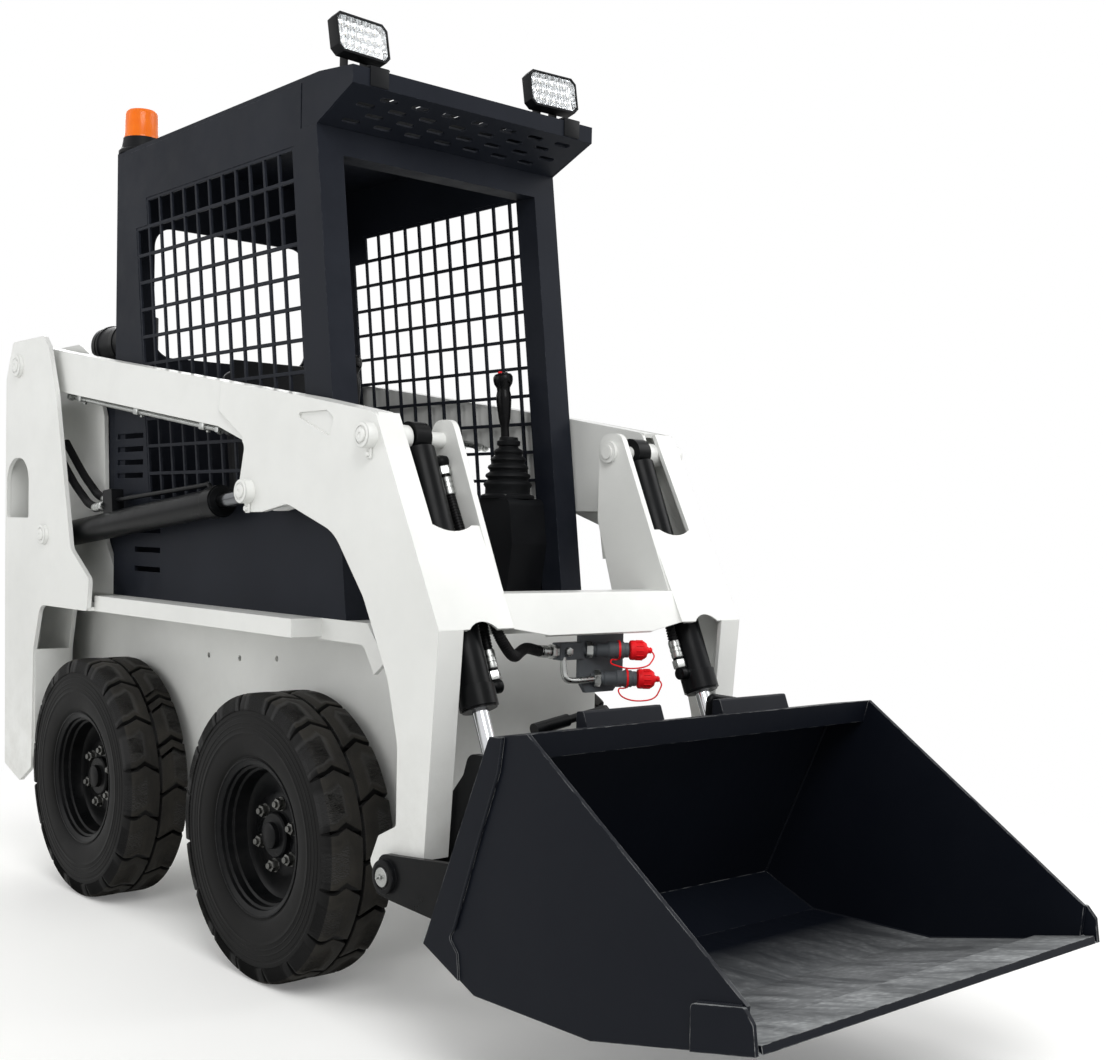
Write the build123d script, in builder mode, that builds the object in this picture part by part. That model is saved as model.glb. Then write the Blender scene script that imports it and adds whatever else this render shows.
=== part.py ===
"""Compact skid steer loader with its bucket, modelled in millimetres.

The X axis points forward, Y to the machine's left and Z up.  The origin is on the ground, on the
centre plane, under the front axle.
"""

from build123d import *
from math import cos, hypot, radians, tan
import os

os.makedirs("parts", exist_ok=True)

# ---- Driving dimensions ---------------------------------------------------------------------

# Running gear
wheel_radius = 320.0  # over the lugs
tyre_width = 172.0
track_outer = 460.0  # centre plane to the outer face of a tyre
wheelbase = 908.0
lug_count = 16  # in each of a tyre's two rows
lug_height = 18.0
groove_width = 17.0
groove_slant = 28.0
bead_radius = 165.0
rim_flange = 176.0
nut_count = 6
nut_circle = 72.0
spindle_radius = 27.5
running_gap = 6.0  # between parts that move past each other

# Body
hull_half = track_outer - tyre_width - 16.0  # outside of the side walls, between the tyres
wall = 10.0
belly_z = 236.0
deck_z = 811.0
hull_front = 322.0
hull_rear = -1428.0
fender_half = track_outer - 32.0
fender_lip = 41.0
fender_front = 104.0
fender_rear = -880.0
rear_face = -1449.0
strip_half = 350.0  # outer edge of the front fender strips
strip_nose = (345.0, 735.0)

# Widths from the centre plane, from the cab outwards
cab_half = 348.0
arm_inner = cab_half + 10.0  # inside of the rear beams' inner plates
arm_outer = arm_inner + 70.0
lift_y = arm_inner + 32.0
tilt_y = arm_outer - 110.0
web_y = arm_outer - 178.0  # outside of the inner knee plates
tower_inner = arm_inner - 14.0  # outside of the inner plate
tower_outer = arm_outer + 22.0

# Towers that carry the arms
tower_plate = 12.0
tower_top = 1524.0
pivot_x = -1352.0
pivot_z = 1452.0
lift_base_x = -1162.0
lift_base_z = 969.0

# Cab
cab_rear = -936.0
cab_sheet = 8.0
cab_top = 1990.0
roof_thickness = 10.0
post_foot_x = 195.0  # front face of the front post at the deck
post_lean = 7.8  # degrees, top to the rear
post_depth = 70.0
post_width = 66.0
post_top = 1890.0
visor_tip = 185.0
visor_lip_low = 1948.0
mesh_columns = 12
mesh_rows = 11
mesh_pitch_x = 64.7
mesh_pitch_z = 71.5
mesh_bar = 8.0
mesh_top = 1853.0
mesh_front_x = -49.0  # front edge of the mesh at its top
back_window_half = cab_half - 103.0
back_window_low = 1466.0
back_window_high = 1820.0
louvre_gap = 14.0
side_louvres = (  # rear x, front x, heights
    (-918.0, -766.0, (1134.0, 1169.0, 1204.0, 1239.0)),
    (-809.0, -663.0, (887.0, 938.0, 989.0)),
)

# Arms
arm_plate = 12.0
knee_x = 402.0
knee_z = 1241.0
bend_x = 622.0
bend_z = 821.0
toe_x = 589.0
toe_z = 379.0
leg_flange = 60.0
lift_pin_x = -81.0
lift_pin_z = 1085.0
tilt_pin_x = 388.0
tilt_pin_z = 1194.0
foot_pin_x = 494.0
foot_pin_z = 333.0
cross_high = 887.0
cross_low = 802.0

# Cylinders
lift_barrel_radius = 35.0
lift_barrel_length = 900.0
lift_rod_radius = 18.0
tilt_barrel_radius = 35.0
tilt_barrel_length = 577.0
tilt_rod_radius = 16.0
eye_radius = 34.0
eye_width = 38.0
pin_radius = 16.0
pin_clearance = 0.3
bore_depth_left = 22.0  # solid end of a barrel past its eye
lift_close = 46.0  # travel left to the end of the bore, with the arms down
tilt_close = 68.0

# Quick attach and bucket
crown_pin_x = 662.0
crown_pin_z = 553.0
bucket_half = 483.0
bucket_sheet = 8.0
bucket_back_low = (670.0, 250.0)
bucket_back_high = (846.0, 654.0)
bucket_lip_front = (941.0, 670.0)
bucket_heel = (815.0, 190.0)
bucket_floor = (1111.0, 195.0)
bucket_tip = (1456.0, 273.0)
bucket_cheek = (1431.0, 338.0)
attach_gap = 0.3
attach_plate = 12.0

wheel_y = track_outer - tyre_width / 2
axle_x = {"front": 0.0, "rear": -wheelbase}
lean = tan(radians(post_lean))


# ---- Shared operations ----------------------------------------------------------------------


def add_plate(rows, y_from, y_to, mode=Mode.ADD):
    """Add or cut an upright plate between two y values; each row is x, z, corner radius."""
    low, high = sorted((y_from, y_to))
    with BuildSketch(Plane.XZ.offset(-high)) as face:
        with BuildLine():
            points = [(x, z) for x, z, radius in rows]
            FilletPolyline(*points, radius=[radius for x, z, radius in rows], close=True)
        make_face()
    extrude(face.sketch, amount=high - low, mode=mode)


def add_block(x, y, z, mode=Mode.ADD):
    """Add or cut a block that fills three ranges."""
    with Locations(((x[0] + x[1]) / 2, (y[0] + y[1]) / 2, (z[0] + z[1]) / 2)):
        Box(abs(x[1] - x[0]), abs(y[1] - y[0]), abs(z[1] - z[0]), mode=mode)


def add_round(start, end, radius, mode=Mode.ADD):
    """Add or cut a round bar from one point to another."""
    along = Vector(*end) - Vector(*start)
    with BuildSketch(Plane(origin=start, z_dir=along)) as section:
        Circle(radius)
    extrude(section.sketch, amount=along.length, mode=mode)


def add_pin(x, z, y_from, y_to, radius, mode=Mode.ADD):
    """Add or cut a round bar across the machine."""
    add_round((x, y_from, z), (x, y_to, z), radius, mode)


def fold(path, thickness):
    """Rows for add_plate: a folded sheet with the path on one face and its body on the left."""
    offsets = []
    for index, (x, z) in enumerate(path):
        normals = []
        for a, b in ((index - 1, index), (index, index + 1)):
            if a < 0 or b >= len(path):
                continue
            dx, dz = path[b][0] - path[a][0], path[b][1] - path[a][1]
            length = hypot(dx, dz)
            normals.append((-dz / length, dx / length))
        nx = sum(n[0] for n in normals) / len(normals)
        nz = sum(n[1] for n in normals) / len(normals)
        reach = thickness / (nx * nx + nz * nz)
        offsets.append((x + nx * reach, z + nz * reach))
    return [(x, z, 0.0) for x, z in list(path) + offsets[::-1]]


def between(start, end, share):
    """The point at a share of the way from start to end."""
    return tuple(a + (b - a) * share for a, b in zip(start, end))


def towards(start, end, distance):
    """The point at a distance from start on the way to end."""
    return between(start, end, distance / hypot(*(b - a for a, b in zip(start, end))))


def add_hose(points, bend, radius):
    """Add a hose or pipe along straight runs joined by tangent arcs."""
    corners = [Vector(*point) for point in points]
    with BuildLine() as route:
        start = corners[0]
        for before, corner, after in zip(corners, corners[1:], corners[2:]):
            arrive = (corner - before).normalized()
            leave = (after - corner).normalized()
            turn = radians(arrive.get_angle(leave))
            first = corner - arrive * (bend * tan(turn / 2))
            last = corner + leave * (bend * tan(turn / 2))
            middle = corner + (leave - arrive).normalized() * (bend / cos(turn / 2) - bend)
            Line(start, first)
            ThreePointArc(first, middle, last)
            start = last
        Line(start, corners[-1])
    with BuildSketch(Plane(origin=corners[0], z_dir=corners[1] - corners[0])) as section:
        Circle(radius)
    sweep(section.sketch, path=route.line)


def post_front(z):
    """x of the front posts' front face at a height."""
    return post_foot_x - (z - deck_z) * lean


# ---- Chassis --------------------------------------------------------------------------------

hull_chin_x = hull_front - 72.0
hull_chin_z = 330.0
hull_tail_x = -1200.0
threshold_z = 780.0
seat_x = -470.0
footwell_x = seat_x + 250.0
footwell_z = 420.0
floor_sheet = 10.0
engine_rear, engine_front = -1360.0, -1000.0
engine_low, engine_high = 430.0, 1010.0
engine_half = 190.0
tie_down_radius = 20.0
tie_down_y = 200.0
tie_down_z = 430.0
hull_hole_radius = 7.0
hull_holes = ((-537.0, 674.0), (-381.0, 679.0), (-207.0, 692.0))  # x, z

with BuildPart() as chassis:
    for side in (-1, 1):
        add_plate(
            [
                (hull_front, deck_z, 0),
                (hull_front, hull_chin_z, 30),
                (hull_chin_x, belly_z, 30),
                (hull_tail_x, belly_z, 30),
                (hull_rear, hull_chin_z, 30),
                (hull_rear, deck_z, 0),
            ],
            side * (hull_half - wall),
            side * hull_half,
        )
    inside = hull_half - wall
    belly = [
        (hull_rear, 480.0),
        (hull_rear, hull_chin_z),
        (hull_tail_x, belly_z),
        (hull_chin_x, belly_z),
        (hull_front, hull_chin_z),
        (hull_front, threshold_z),
    ]
    add_plate(fold(belly, floor_sheet), -inside, inside)
    add_block((footwell_x - wall, footwell_x), (-inside, inside), (belly_z + 5, deck_z))
    add_block((footwell_x - 5, hull_front - 5), (-inside, inside), (footwell_z, footwell_z + floor_sheet))
    add_block((cab_rear, footwell_x - 5), (-inside, inside), (deck_z - floor_sheet, deck_z))
    add_block((engine_rear + 30, engine_front - 30), (-inside, inside), (engine_low - 30, engine_low))
    for side in (-1, 1):
        shelf = (side * (hull_half - 5), side * (tower_inner - tower_plate))
        add_block((hull_rear, cab_rear), shelf, (deck_z - floor_sheet, deck_z))
        add_round(
            (hull_rear - 1, side * tie_down_y, tie_down_z),
            (hull_rear + 2 * floor_sheet, side * tie_down_y, tie_down_z),
            tie_down_radius + 4,
            Mode.SUBTRACT,
        )
        for x, z in hull_holes:
            add_pin(x, z, side * (inside - 1), side * (hull_half + 1), hull_hole_radius, Mode.SUBTRACT)
chassis.part.label = "chassis"
export_step(chassis.part, "parts/chassis.step")

with BuildPart() as fenders:
    for side in (-1, 1):
        add_block(
            (fender_rear, fender_front),
            (side * hull_half, side * fender_half),
            (deck_z - floor_sheet, deck_z),
        )
        add_block(
            (fender_rear, fender_front),
            (side * (fender_half - wall), side * fender_half),
            (deck_z - fender_lip, deck_z - 5),
        )
        add_block(
            (fender_front - wall, fender_front),
            (side * hull_half, side * (fender_half - 5)),
            (deck_z - fender_lip, deck_z - 5),
        )
        nose = strip_nose
        strip = fold([(fender_front - 20, deck_z), (277.0, deck_z), nose], -wall)
        add_plate(strip, side * hull_half, side * strip_half)
        lip = [
            (fender_front - 15, deck_z - 5, 0),
            (275.0, deck_z - 5, 0),
            (nose[0] - 3, nose[1] - 2, 0),
            (nose[0] - fender_lip, nose[1] - 30, 0),
            (263.0, deck_z - fender_lip - 6, 20),
            (fender_front - 15, deck_z - fender_lip - 6, 0),
        ]
        add_plate(lip, side * (strip_half - wall), side * strip_half)
fenders.part.label = "fenders"
export_step(fenders.part, "parts/fenders.step")

with BuildPart() as bumper:
    bumper_low, bumper_high = hull_chin_z + 10, 520.0
    bumper_half = tower_inner - tower_plate
    add_block((rear_face, hull_rear), (-bumper_half, bumper_half), (bumper_low, bumper_high))
    chamfer(bumper.edges().filter_by(Axis.Y).group_by(Axis.X)[0], 8)
    for side in (-1, 1):
        y = side * tie_down_y
        bore = ((rear_face - 1, y, tie_down_z), (hull_rear + 1, y, tie_down_z))
        add_round(*bore, tie_down_radius, Mode.SUBTRACT)
bumper.part.label = "bumper"
export_step(bumper.part, "parts/bumper.step")

# ---- Towers ---------------------------------------------------------------------------------

tower_rows = [
    (-1399.0, tower_top, 20),
    (-1178.0, tower_top, 12),
    (-1142.0, 1491.0, 12),
    (-1092.0, 1364.0, 20),
    (-987.0, 934.0, 30),
    (-868.0, 856.0, 20),
    (-879.0, deck_z - fender_lip, 12),
    (-1190.0, deck_z - fender_lip, 40),
    (-1235.0, 640.0, 60),
    (-1244.0, 300.0, 10),
    (-1327.0, 250.0, 10),
    (rear_face + 8, 286.0, 10),
    (rear_face, 887.0, 0),
    (rear_face, 1417.0, 40),
]
window_x = (-1438.0, -1277.0)
window_z = (1015.0, 1187.0)


def build_tower_plate(y_from, y_to):
    """One plate of a tower, with its arched window."""
    add_plate(tower_rows, y_from, y_to)
    arch = [
        (window_x[0], window_z[0], 8),
        (window_x[1], window_z[0], 8),
        (window_x[1], window_z[1], 70),
        (window_x[0], window_z[1], 70),
    ]
    add_plate(arch, y_from, y_to, Mode.SUBTRACT)


with BuildPart() as tower_right:
    build_tower_plate(-tower_outer, -tower_outer + tower_plate)
    inner_rows = [
        (-1399.0, tower_top - 14, 20),
        (-1178.0, tower_top - 14, 12),
        (-1094.0, 1469.0, 12),
        (-1012.0, 1300.0, 30),
        (-995.0, 955.0, 30),
        (cab_rear - 6, 882.0, 0),
        (cab_rear - 6, deck_z, 0),
        (-1190.0, deck_z, 0),
        (-1235.0, 640.0, 0),
        (-1244.0, 330.0, 0),
        (rear_face, 330.0, 0),
        (rear_face, 1417.0, 40),
    ]
    add_plate(inner_rows, -tower_inner, -tower_inner + tower_plate)
    gap = (-tower_outer + 6, -tower_inner + 6)
    add_block((rear_face, rear_face + wall), gap, (300.0, 1360.0))
    add_block((-1244.0, -1234.0), gap, (330.0, 640.0))
    shelf_low = deck_z - fender_lip
    add_block((-1190.0, fender_rear), (-tower_outer + 6, -hull_half), (shelf_low, shelf_low + wall))
    add_block((-1430.0, -1244.0), (-tower_inner + 6, -hull_half), (330.0, 340.0))
    for x, z, head in ((pivot_x, pivot_z, 32.0), (lift_base_x, lift_base_z, 28.0)):
        add_pin(x, z, -tower_outer - 10, -tower_outer + 4, head)
        radius = 24.7 if x == pivot_x else pin_radius
        add_pin(x, z, -tower_outer + 4, -tower_inner + 4, radius)
tower_right.part.label = "tower_right"
export_step(tower_right.part, "parts/tower_right.step")

door_half = tower_inner - tower_plate - 6.0
hinge_radius = 5.5
hinge_pin_radius = 2.8
hinge_heights = (640.0, 1250.0)
knuckle = 38.0

with BuildPart() as tower_left:
    mirror(tower_right.part, about=Plane.XZ)
    for z in hinge_heights:
        for low in (z - knuckle, z + knuckle):
            add_round((rear_face, door_half, low), (rear_face, door_half, low + knuckle), hinge_radius)
            leaf = (rear_face - hinge_radius, rear_face)
            add_block(leaf, (door_half, tower_inner - 2), (low, low + knuckle))
        add_round((rear_face, door_half, z - 1), (rear_face, door_half, z + knuckle + 1), hinge_pin_radius)
tower_left.part.label = "tower_left"
export_step(tower_left.part, "parts/tower_left.step")

# ---- Running gear ---------------------------------------------------------------------------

hub_inner = -30.0  # from the wheel's centre plane, outwards positive
disc_low, disc_high = 0.0, 10.0

with BuildPart() as axles:
    for x in axle_x.values():
        for side in (-1, 1):
            hub_end = wheel_y + hub_inner
            for y_from, y_to, radius in (
                (hull_half, hull_half + 12, 85.0),
                (hull_half + 12, hub_end - running_gap, 50.0),
                (hub_end - running_gap, wheel_y - 6, spindle_radius),
            ):
                add_pin(x, wheel_radius, side * y_from, side * y_to, radius)
axles.part.label = "axles"
export_step(axles.part, "parts/axles.step")

tyre_half = tyre_width / 2
tread_base = wheel_radius - lug_height

with BuildPart() as tyre_master:
    # radius, distance from the centre plane
    section = [
        (bead_radius, -69.5),
        (bead_radius + 13, -69.5),
        (bead_radius + 22, -tyre_half + 6),
        (bead_radius + 70, -tyre_half),
        (tread_base - 6, -tyre_half + 2),
        (wheel_radius, -tyre_half + 11),
    ]
    section += [(radius, -y) for radius, y in section[::-1]]
    with BuildSketch(Plane.XZ) as half:
        with BuildLine():
            Polyline(*section, close=True)
        make_face()
    revolve(half.sketch, axis=Axis.Z)
    for row in (-1, 1):
        start = 90.0 / lug_count * row
        with PolarLocations(wheel_radius, lug_count, start_angle=start):
            Box(
                2 * lug_height,
                groove_width,
                tyre_width,
                rotation=(groove_slant if row > 0 else 180 - groove_slant, 0, 0),
                align=(Align.CENTER, Align.CENTER, Align.MIN),
                mode=Mode.SUBTRACT,
            )

with BuildPart() as rim_master:
    # inner radius, outer radius, from, to along the axle
    for inner, outer, low, high in (
        (bead_radius - 9, bead_radius - pin_clearance, -70.0, 70.0),
        (bead_radius - 9, rim_flange, 70.0, 76.0),
        (bead_radius - 9, rim_flange, -76.0, -70.0),
        (0.0, bead_radius - 5, disc_low, disc_high),
        (spindle_radius + 0.5, 52.0, hub_inner, disc_low),
        (0.0, 36.0, disc_high, disc_high + 24),
    ):
        with BuildSketch(Plane.XY.offset(low)) as ring:
            Circle(outer)
            if inner > 0:
                Circle(inner, mode=Mode.SUBTRACT)
        extrude(ring.sketch, amount=high - low)
    with BuildSketch(Plane.XY.offset(disc_high)) as nuts:
        with PolarLocations(nut_circle, nut_count):
            RegularPolygon(15.0, 6)
    extrude(nuts.sketch, amount=14)

for end, x in axle_x.items():
    for side, name in ((-1, "right"), (1, "left")):
        place = Location((x, side * wheel_y, wheel_radius), (-90 * side, 0, 0))
        with BuildPart() as tyre:
            with Locations(place):
                add(tyre_master.part)
        tyre.part.label = f"tyre_{end}_{name}"
        export_step(tyre.part, f"parts/tyre_{end}_{name}.step")
        with BuildPart() as rim:
            with Locations(place):
                add(rim_master.part)
        rim.part.label = f"rim_{end}_{name}"
        export_step(rim.part, f"parts/rim_{end}_{name}.step")

# ---- Engine bay -----------------------------------------------------------------------------

bay_half = tower_inner - tower_plate - 2
bay_front = cab_rear
door_front = hull_rear - 1
hood_top = 1400.0
door_low = 530.0

with BuildPart() as hood:
    add_block((hull_rear, bay_front), (-bay_half, bay_half), (hood_top - wall, hood_top))
    for side in (-1, 1):
        add_block(
            (hull_rear, bay_front),
            (side * bay_half, side * (bay_half - wall)),
            (deck_z, hood_top - 5),
        )
hood.part.label = "engine_hood"
export_step(hood.part, "parts/engine_hood.step")

with BuildPart() as engine:
    add_block((engine_rear, engine_front), (-engine_half, engine_half), (engine_low, engine_high))
    fillet(engine.edges(), 15)
engine.part.label = "engine_block"
export_step(engine.part, "parts/engine_block.step")

louvre_count = 9
louvre_pitch = 62.0
louvre_slot = 26.0
with BuildPart() as rear_door:
    add_block((rear_face, door_front), (-door_half, door_half), (door_low, hood_top))
    add_block(
        (rear_face + 8, door_front + 5),
        (-door_half + 30, door_half - 30),
        (door_low + 40, hood_top - 40),
        Mode.SUBTRACT,
    )
    for index in range(louvre_count):
        z = door_low + 160 + index * louvre_pitch
        add_block(
            (rear_face - 5, door_front + 5),
            (-door_half + 90, door_half - 90),
            (z, z + louvre_slot),
            Mode.SUBTRACT,
        )
    add_block((rear_face, rear_face + 12), (-door_half + 45, -door_half + 75), (900, 1010))
    for z in hinge_heights:
        notch = hinge_radius + 2
        add_block(
            (rear_face - 1, rear_face + notch),
            (door_half - notch, door_half + 1),
            (z - knuckle - 2, z + 2 * knuckle + 2),
            Mode.SUBTRACT,
        )
        add_round((rear_face, door_half, z + 1), (rear_face, door_half, z + knuckle - 1), hinge_radius)
        add_block((rear_face - 4, rear_face), (door_half - 46, door_half), (z + 1, z + knuckle - 1))
        add_round(
            (rear_face, door_half, z - 1),
            (rear_face, door_half, z + knuckle + 1),
            hinge_pin_radius + pin_clearance,
            Mode.SUBTRACT,
        )
rear_door.part.label = "rear_door"
export_step(rear_door.part, "parts/rear_door.step")

# ---- Cab ------------------------------------------------------------------------------------

mesh_shear = tan(radians(7.35))
mesh_height = mesh_rows * mesh_pitch_z


def mesh_x(column, z):
    """x of a mesh column's edge, counted from the front, at a height."""
    return mesh_front_x + (mesh_top - z) * mesh_shear - column * mesh_pitch_x


def mesh_rows_outline(grow):
    """Rows around the mesh field, notched by one cell at its rear top corner."""
    top, step, low = mesh_top + grow, mesh_top - mesh_pitch_z + grow, mesh_top - mesh_height - grow
    return [
        (mesh_x(0, top) + grow, top, 0),
        (mesh_x(mesh_columns - 1, top) - grow, top, 0),
        (mesh_x(mesh_columns - 1, step) - grow, step, 0),
        (mesh_x(mesh_columns, step) - grow, step, 0),
        (mesh_x(mesh_columns, low) - grow, low, 0),
        (mesh_x(0, low) + grow, low, 0),
    ]


with BuildPart() as cab_frame:
    for side in (-1, 1):
        sheet_rows = [
            (cab_rear, deck_z, 0),
            (post_front(deck_z) - post_depth + 5, deck_z, 0),
            (post_front(post_top) - post_depth + 5, post_top, 0),
            (post_front(post_top) - post_depth + 5, cab_top, 0),
            (cab_rear, cab_top, 0),
        ]
        add_plate(sheet_rows, side * (cab_half - cab_sheet), side * cab_half)
        add_plate(
            mesh_rows_outline(4.0),
            side * (cab_half - cab_sheet - 1),
            side * (cab_half + 1),
            Mode.SUBTRACT,
        )
        for rear, front, heights in side_louvres:
            for z in heights:
                across = (side * (cab_half - cab_sheet - 1), side * (cab_half + 1))
                add_block((rear, front), across, (z - louvre_gap / 2, z + louvre_gap / 2), Mode.SUBTRACT)
        post_rows = [
            (post_front(deck_z), deck_z, 0),
            (post_front(post_top), post_top, 0),
            (post_front(post_top) - post_depth, post_top, 0),
            (post_front(deck_z) - post_depth, deck_z, 0),
        ]
        add_plate(post_rows, side * (cab_half - post_width), side * cab_half)
        add_block(
            (cab_rear, cab_rear + 50),
            (side * (cab_half - 50), side * (cab_half - cab_sheet + 2)),
            (deck_z, cab_top),
        )
    header_low = post_top - 60
    add_plate(
        [
            (post_front(header_low), header_low, 0),
            (post_front(post_top), post_top, 0),
            (post_front(post_top) - 60, post_top, 0),
            (post_front(header_low) - 60, header_low, 0),
        ],
        -cab_half + 5,
        cab_half - 5,
    )
    add_block((cab_rear, cab_rear + 50), (-cab_half + 45, cab_half - 45), (deck_z, deck_z + 60))
cab_frame.part.label = "cab_frame"
export_step(cab_frame.part, "parts/cab_frame.step")

mesh_cell = (mesh_pitch_x - mesh_bar, mesh_pitch_z - mesh_bar)
with BuildPart() as cab_mesh_right:
    mesh_y = cab_half - cab_sheet + 1
    with BuildSketch(Plane.XZ.offset(mesh_y)) as mesh:
        with BuildLine():
            Polyline(*[(x, z) for x, z, radius in mesh_rows_outline(3.5)], close=True)
        make_face()
        for row in range(mesh_rows):
            z_high = mesh_top - row * mesh_pitch_z - mesh_bar / 2
            z_low = z_high - mesh_cell[1]
            for column in range(mesh_columns - 1 if row == 0 else mesh_columns):
                corners = [
                    (mesh_x(column, z_high) - mesh_bar / 2, z_high),
                    (mesh_x(column, z_low) - mesh_bar / 2, z_low),
                    (mesh_x(column + 1, z_low) + mesh_bar / 2, z_low),
                    (mesh_x(column + 1, z_high) + mesh_bar / 2, z_high),
                ]
                Polygon(*corners, align=None, mode=Mode.SUBTRACT)
    extrude(mesh.sketch, amount=cab_sheet - 2)
cab_mesh_right.part.label = "cab_mesh_right"
export_step(cab_mesh_right.part, "parts/cab_mesh_right.step")

with BuildPart() as cab_mesh_left:
    mirror(cab_mesh_right.part, about=Plane.XZ)
cab_mesh_left.part.label = "cab_mesh_left"
export_step(cab_mesh_left.part, "parts/cab_mesh_left.step")

roof_vent_slots = 15
visor_slots = 7
visor_rows = 4
with BuildPart() as cab_roof:
    roof_front = post_front(post_top) + 8
    add_block((cab_rear, roof_front), (-cab_half, cab_half), (cab_top, cab_top + roof_thickness))
    with Locations(((roof_front - 50), 0, cab_top)):
        with GridLocations(60, 38, 1, roof_vent_slots):
            Box(56, 24, 40, mode=Mode.SUBTRACT)
    visor = [(visor_tip, cab_top - 4), (visor_tip, visor_lip_low), (post_front(post_top) - 2, post_top)]
    add_plate(fold(visor, -5.0), -cab_half, cab_half)
    for side in (-1, 1):
        cheek = [
            (post_front(post_top) - 60, post_top, 0),
            (post_front(post_top), post_top, 0),
            (visor_tip, visor_lip_low, 0),
            (visor_tip, cab_top - 4, 0),
            (roof_front, cab_top + roof_thickness, 0),
            (post_front(post_top) - 60, cab_top + roof_thickness, 0),
        ]
        add_plate(cheek, side * cab_half, side * (cab_half - 5))
    low_x, low_z = post_front(post_top), post_top
    slope = Plane(
        origin=((low_x + visor_tip) / 2, 0, (low_z + visor_lip_low) / 2),
        x_dir=(visor_tip - low_x, 0, visor_lip_low - low_z),
        z_dir=(-(visor_lip_low - low_z), 0, visor_tip - low_x),
    )
    row_pitch = 30.0
    slot_pitch = 2 * (cab_half - 30) / (visor_slots + 0.5)
    with BuildSketch(slope) as slots:
        for row in range(visor_rows):
            shift = slot_pitch / 4 * (1 if row % 2 else -1)
            with Locations(((row - 1.5) * row_pitch, shift)):
                with GridLocations(1, slot_pitch, 1, visor_slots):
                    SlotOverall(slot_pitch * 0.55, 14, rotation=90)
    extrude(slots.sketch, amount=20, both=True, mode=Mode.SUBTRACT)
cab_roof.part.label = "cab_roof"
export_step(cab_roof.part, "parts/cab_roof.step")

with BuildPart() as cab_back:
    back_half = cab_half - 50 - 1
    with BuildSketch(Plane.YZ.offset(cab_rear + 10)) as back:
        with Locations((0, (deck_z + 60 + cab_top) / 2)):
            Rectangle(2 * back_half, cab_top - deck_z - 60)
        with Locations((0, (back_window_low + back_window_high) / 2)):
            RectangleRounded(2 * back_window_half, back_window_high - back_window_low, 55, mode=Mode.SUBTRACT)
    extrude(back.sketch, amount=cab_sheet)
cab_back.part.label = "cab_back"
export_step(cab_back.part, "parts/cab_back.step")

# ---- Seat and controls ----------------------------------------------------------------------

with BuildPart() as seat_box:
    add_block((seat_x - 230, footwell_x), (-200, 200), (deck_z, deck_z + 110))
seat_box.part.label = "seat_box"
export_step(seat_box.part, "parts/seat_box.step")

with BuildPart() as seat:
    cushion_z = deck_z + 110.3
    add_block((seat_x - 170, seat_x + 240), (-215, 215), (cushion_z, cushion_z + 95))
    fillet(seat.edges().filter_by(Axis.Z), 50)
    seat_back = [
        (seat_x - 150, cushion_z + 85, 0),
        (seat_x - 60, cushion_z + 85, 0),
        (seat_x - 130, cushion_z + 520, 30),
        (seat_x - 220, cushion_z + 520, 30),
    ]
    add_plate(seat_back, -200, 200)
seat.part.label = "seat"
export_step(seat.part, "parts/seat.step")

pod_x = 45.0
pod_y = cab_half - 123.0
pod_top = 1088.0
with BuildPart() as consoles:
    for side in (-1, 1):
        pod = [
            (pod_x - 105, deck_z, 0),
            (pod_x + 60, deck_z, 0),
            (pod_x + 85, pod_top - 110, 30),
            (pod_x + 70, pod_top, 20),
            (pod_x - 95, pod_top, 20),
        ]
        add_plate(pod, side * (pod_y - 55), side * (cab_half - post_width - 1))
consoles.part.label = "consoles"
export_step(consoles.part, "parts/consoles.step")

boot_height = 150.0
with BuildPart() as levers:
    for side in (-1, 1):
        # height above the pod, radius
        boot = [(0, 62), (18, 64), (40, 54), (52, 58), (66, 46), (78, 50), (92, 38), (104, 42)]
        boot += [(120, 26), (boot_height, 18)]
        with BuildSketch(Plane.XZ.offset(-side * pod_y)) as profile:
            with BuildLine():
                Polyline(
                    (pod_x, pod_top),
                    *[(pod_x + radius, pod_top + height) for height, radius in boot],
                    (pod_x, pod_top + boot_height),
                    close=True,
                )
            make_face()
        revolve(profile.sketch, axis=Axis((pod_x, side * pod_y, 0), (0, 0, 1)))
        add_round((pod_x, side * pod_y, pod_top + 140), (pod_x - 12, side * pod_y, pod_top + 200), 12)
        add_round((pod_x - 11, side * pod_y, pod_top + 190), (pod_x - 30, side * pod_y, pod_top + 296), 21)
        add_round((pod_x - 29, side * pod_y, pod_top + 292), (pod_x - 32, side * pod_y, pod_top + 312), 27)
levers.part.label = "control_levers"
export_step(levers.part, "parts/control_levers.step")

# ---- Lamps, beacon and air cleaner ----------------------------------------------------------

lamp_x, lamp_y, lamp_z = 128.0, cab_half - 68.0, 2069.0
lamp_width, lamp_height, lamp_depth = 144.0, 92.0, 46.0
lamp_foot_z = cab_top - 24.0
with BuildPart() as work_lamps:
    for side in (-1, 1):
        x = (lamp_x - lamp_depth, lamp_x)
        y = (side * lamp_y - lamp_width / 2, side * lamp_y + lamp_width / 2)
        add_block(x, y, (lamp_z - lamp_height / 2, lamp_z + lamp_height / 2))
        add_block(
            (lamp_x - 6, lamp_x + 1),
            (y[0] + 6, y[1] - 6),
            (lamp_z - lamp_height / 2 + 6, lamp_z + lamp_height / 2 - 6),
            Mode.SUBTRACT,
        )
        foot_y = (side * lamp_y - 18, side * lamp_y + 18)
        add_block((lamp_x - 35, lamp_x - 23), foot_y, (lamp_foot_z, lamp_z - lamp_height / 2 + 1))
        add_block((lamp_x - 35, visor_tip - 5 - attach_gap), foot_y, (lamp_foot_z, lamp_foot_z + 10))
        add_block((visor_tip - 13, visor_tip - 5 - attach_gap), foot_y, (lamp_foot_z - 8, lamp_foot_z + 10))
work_lamps.part.label = "work_lamps"
export_step(work_lamps.part, "parts/work_lamps.step")

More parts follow.
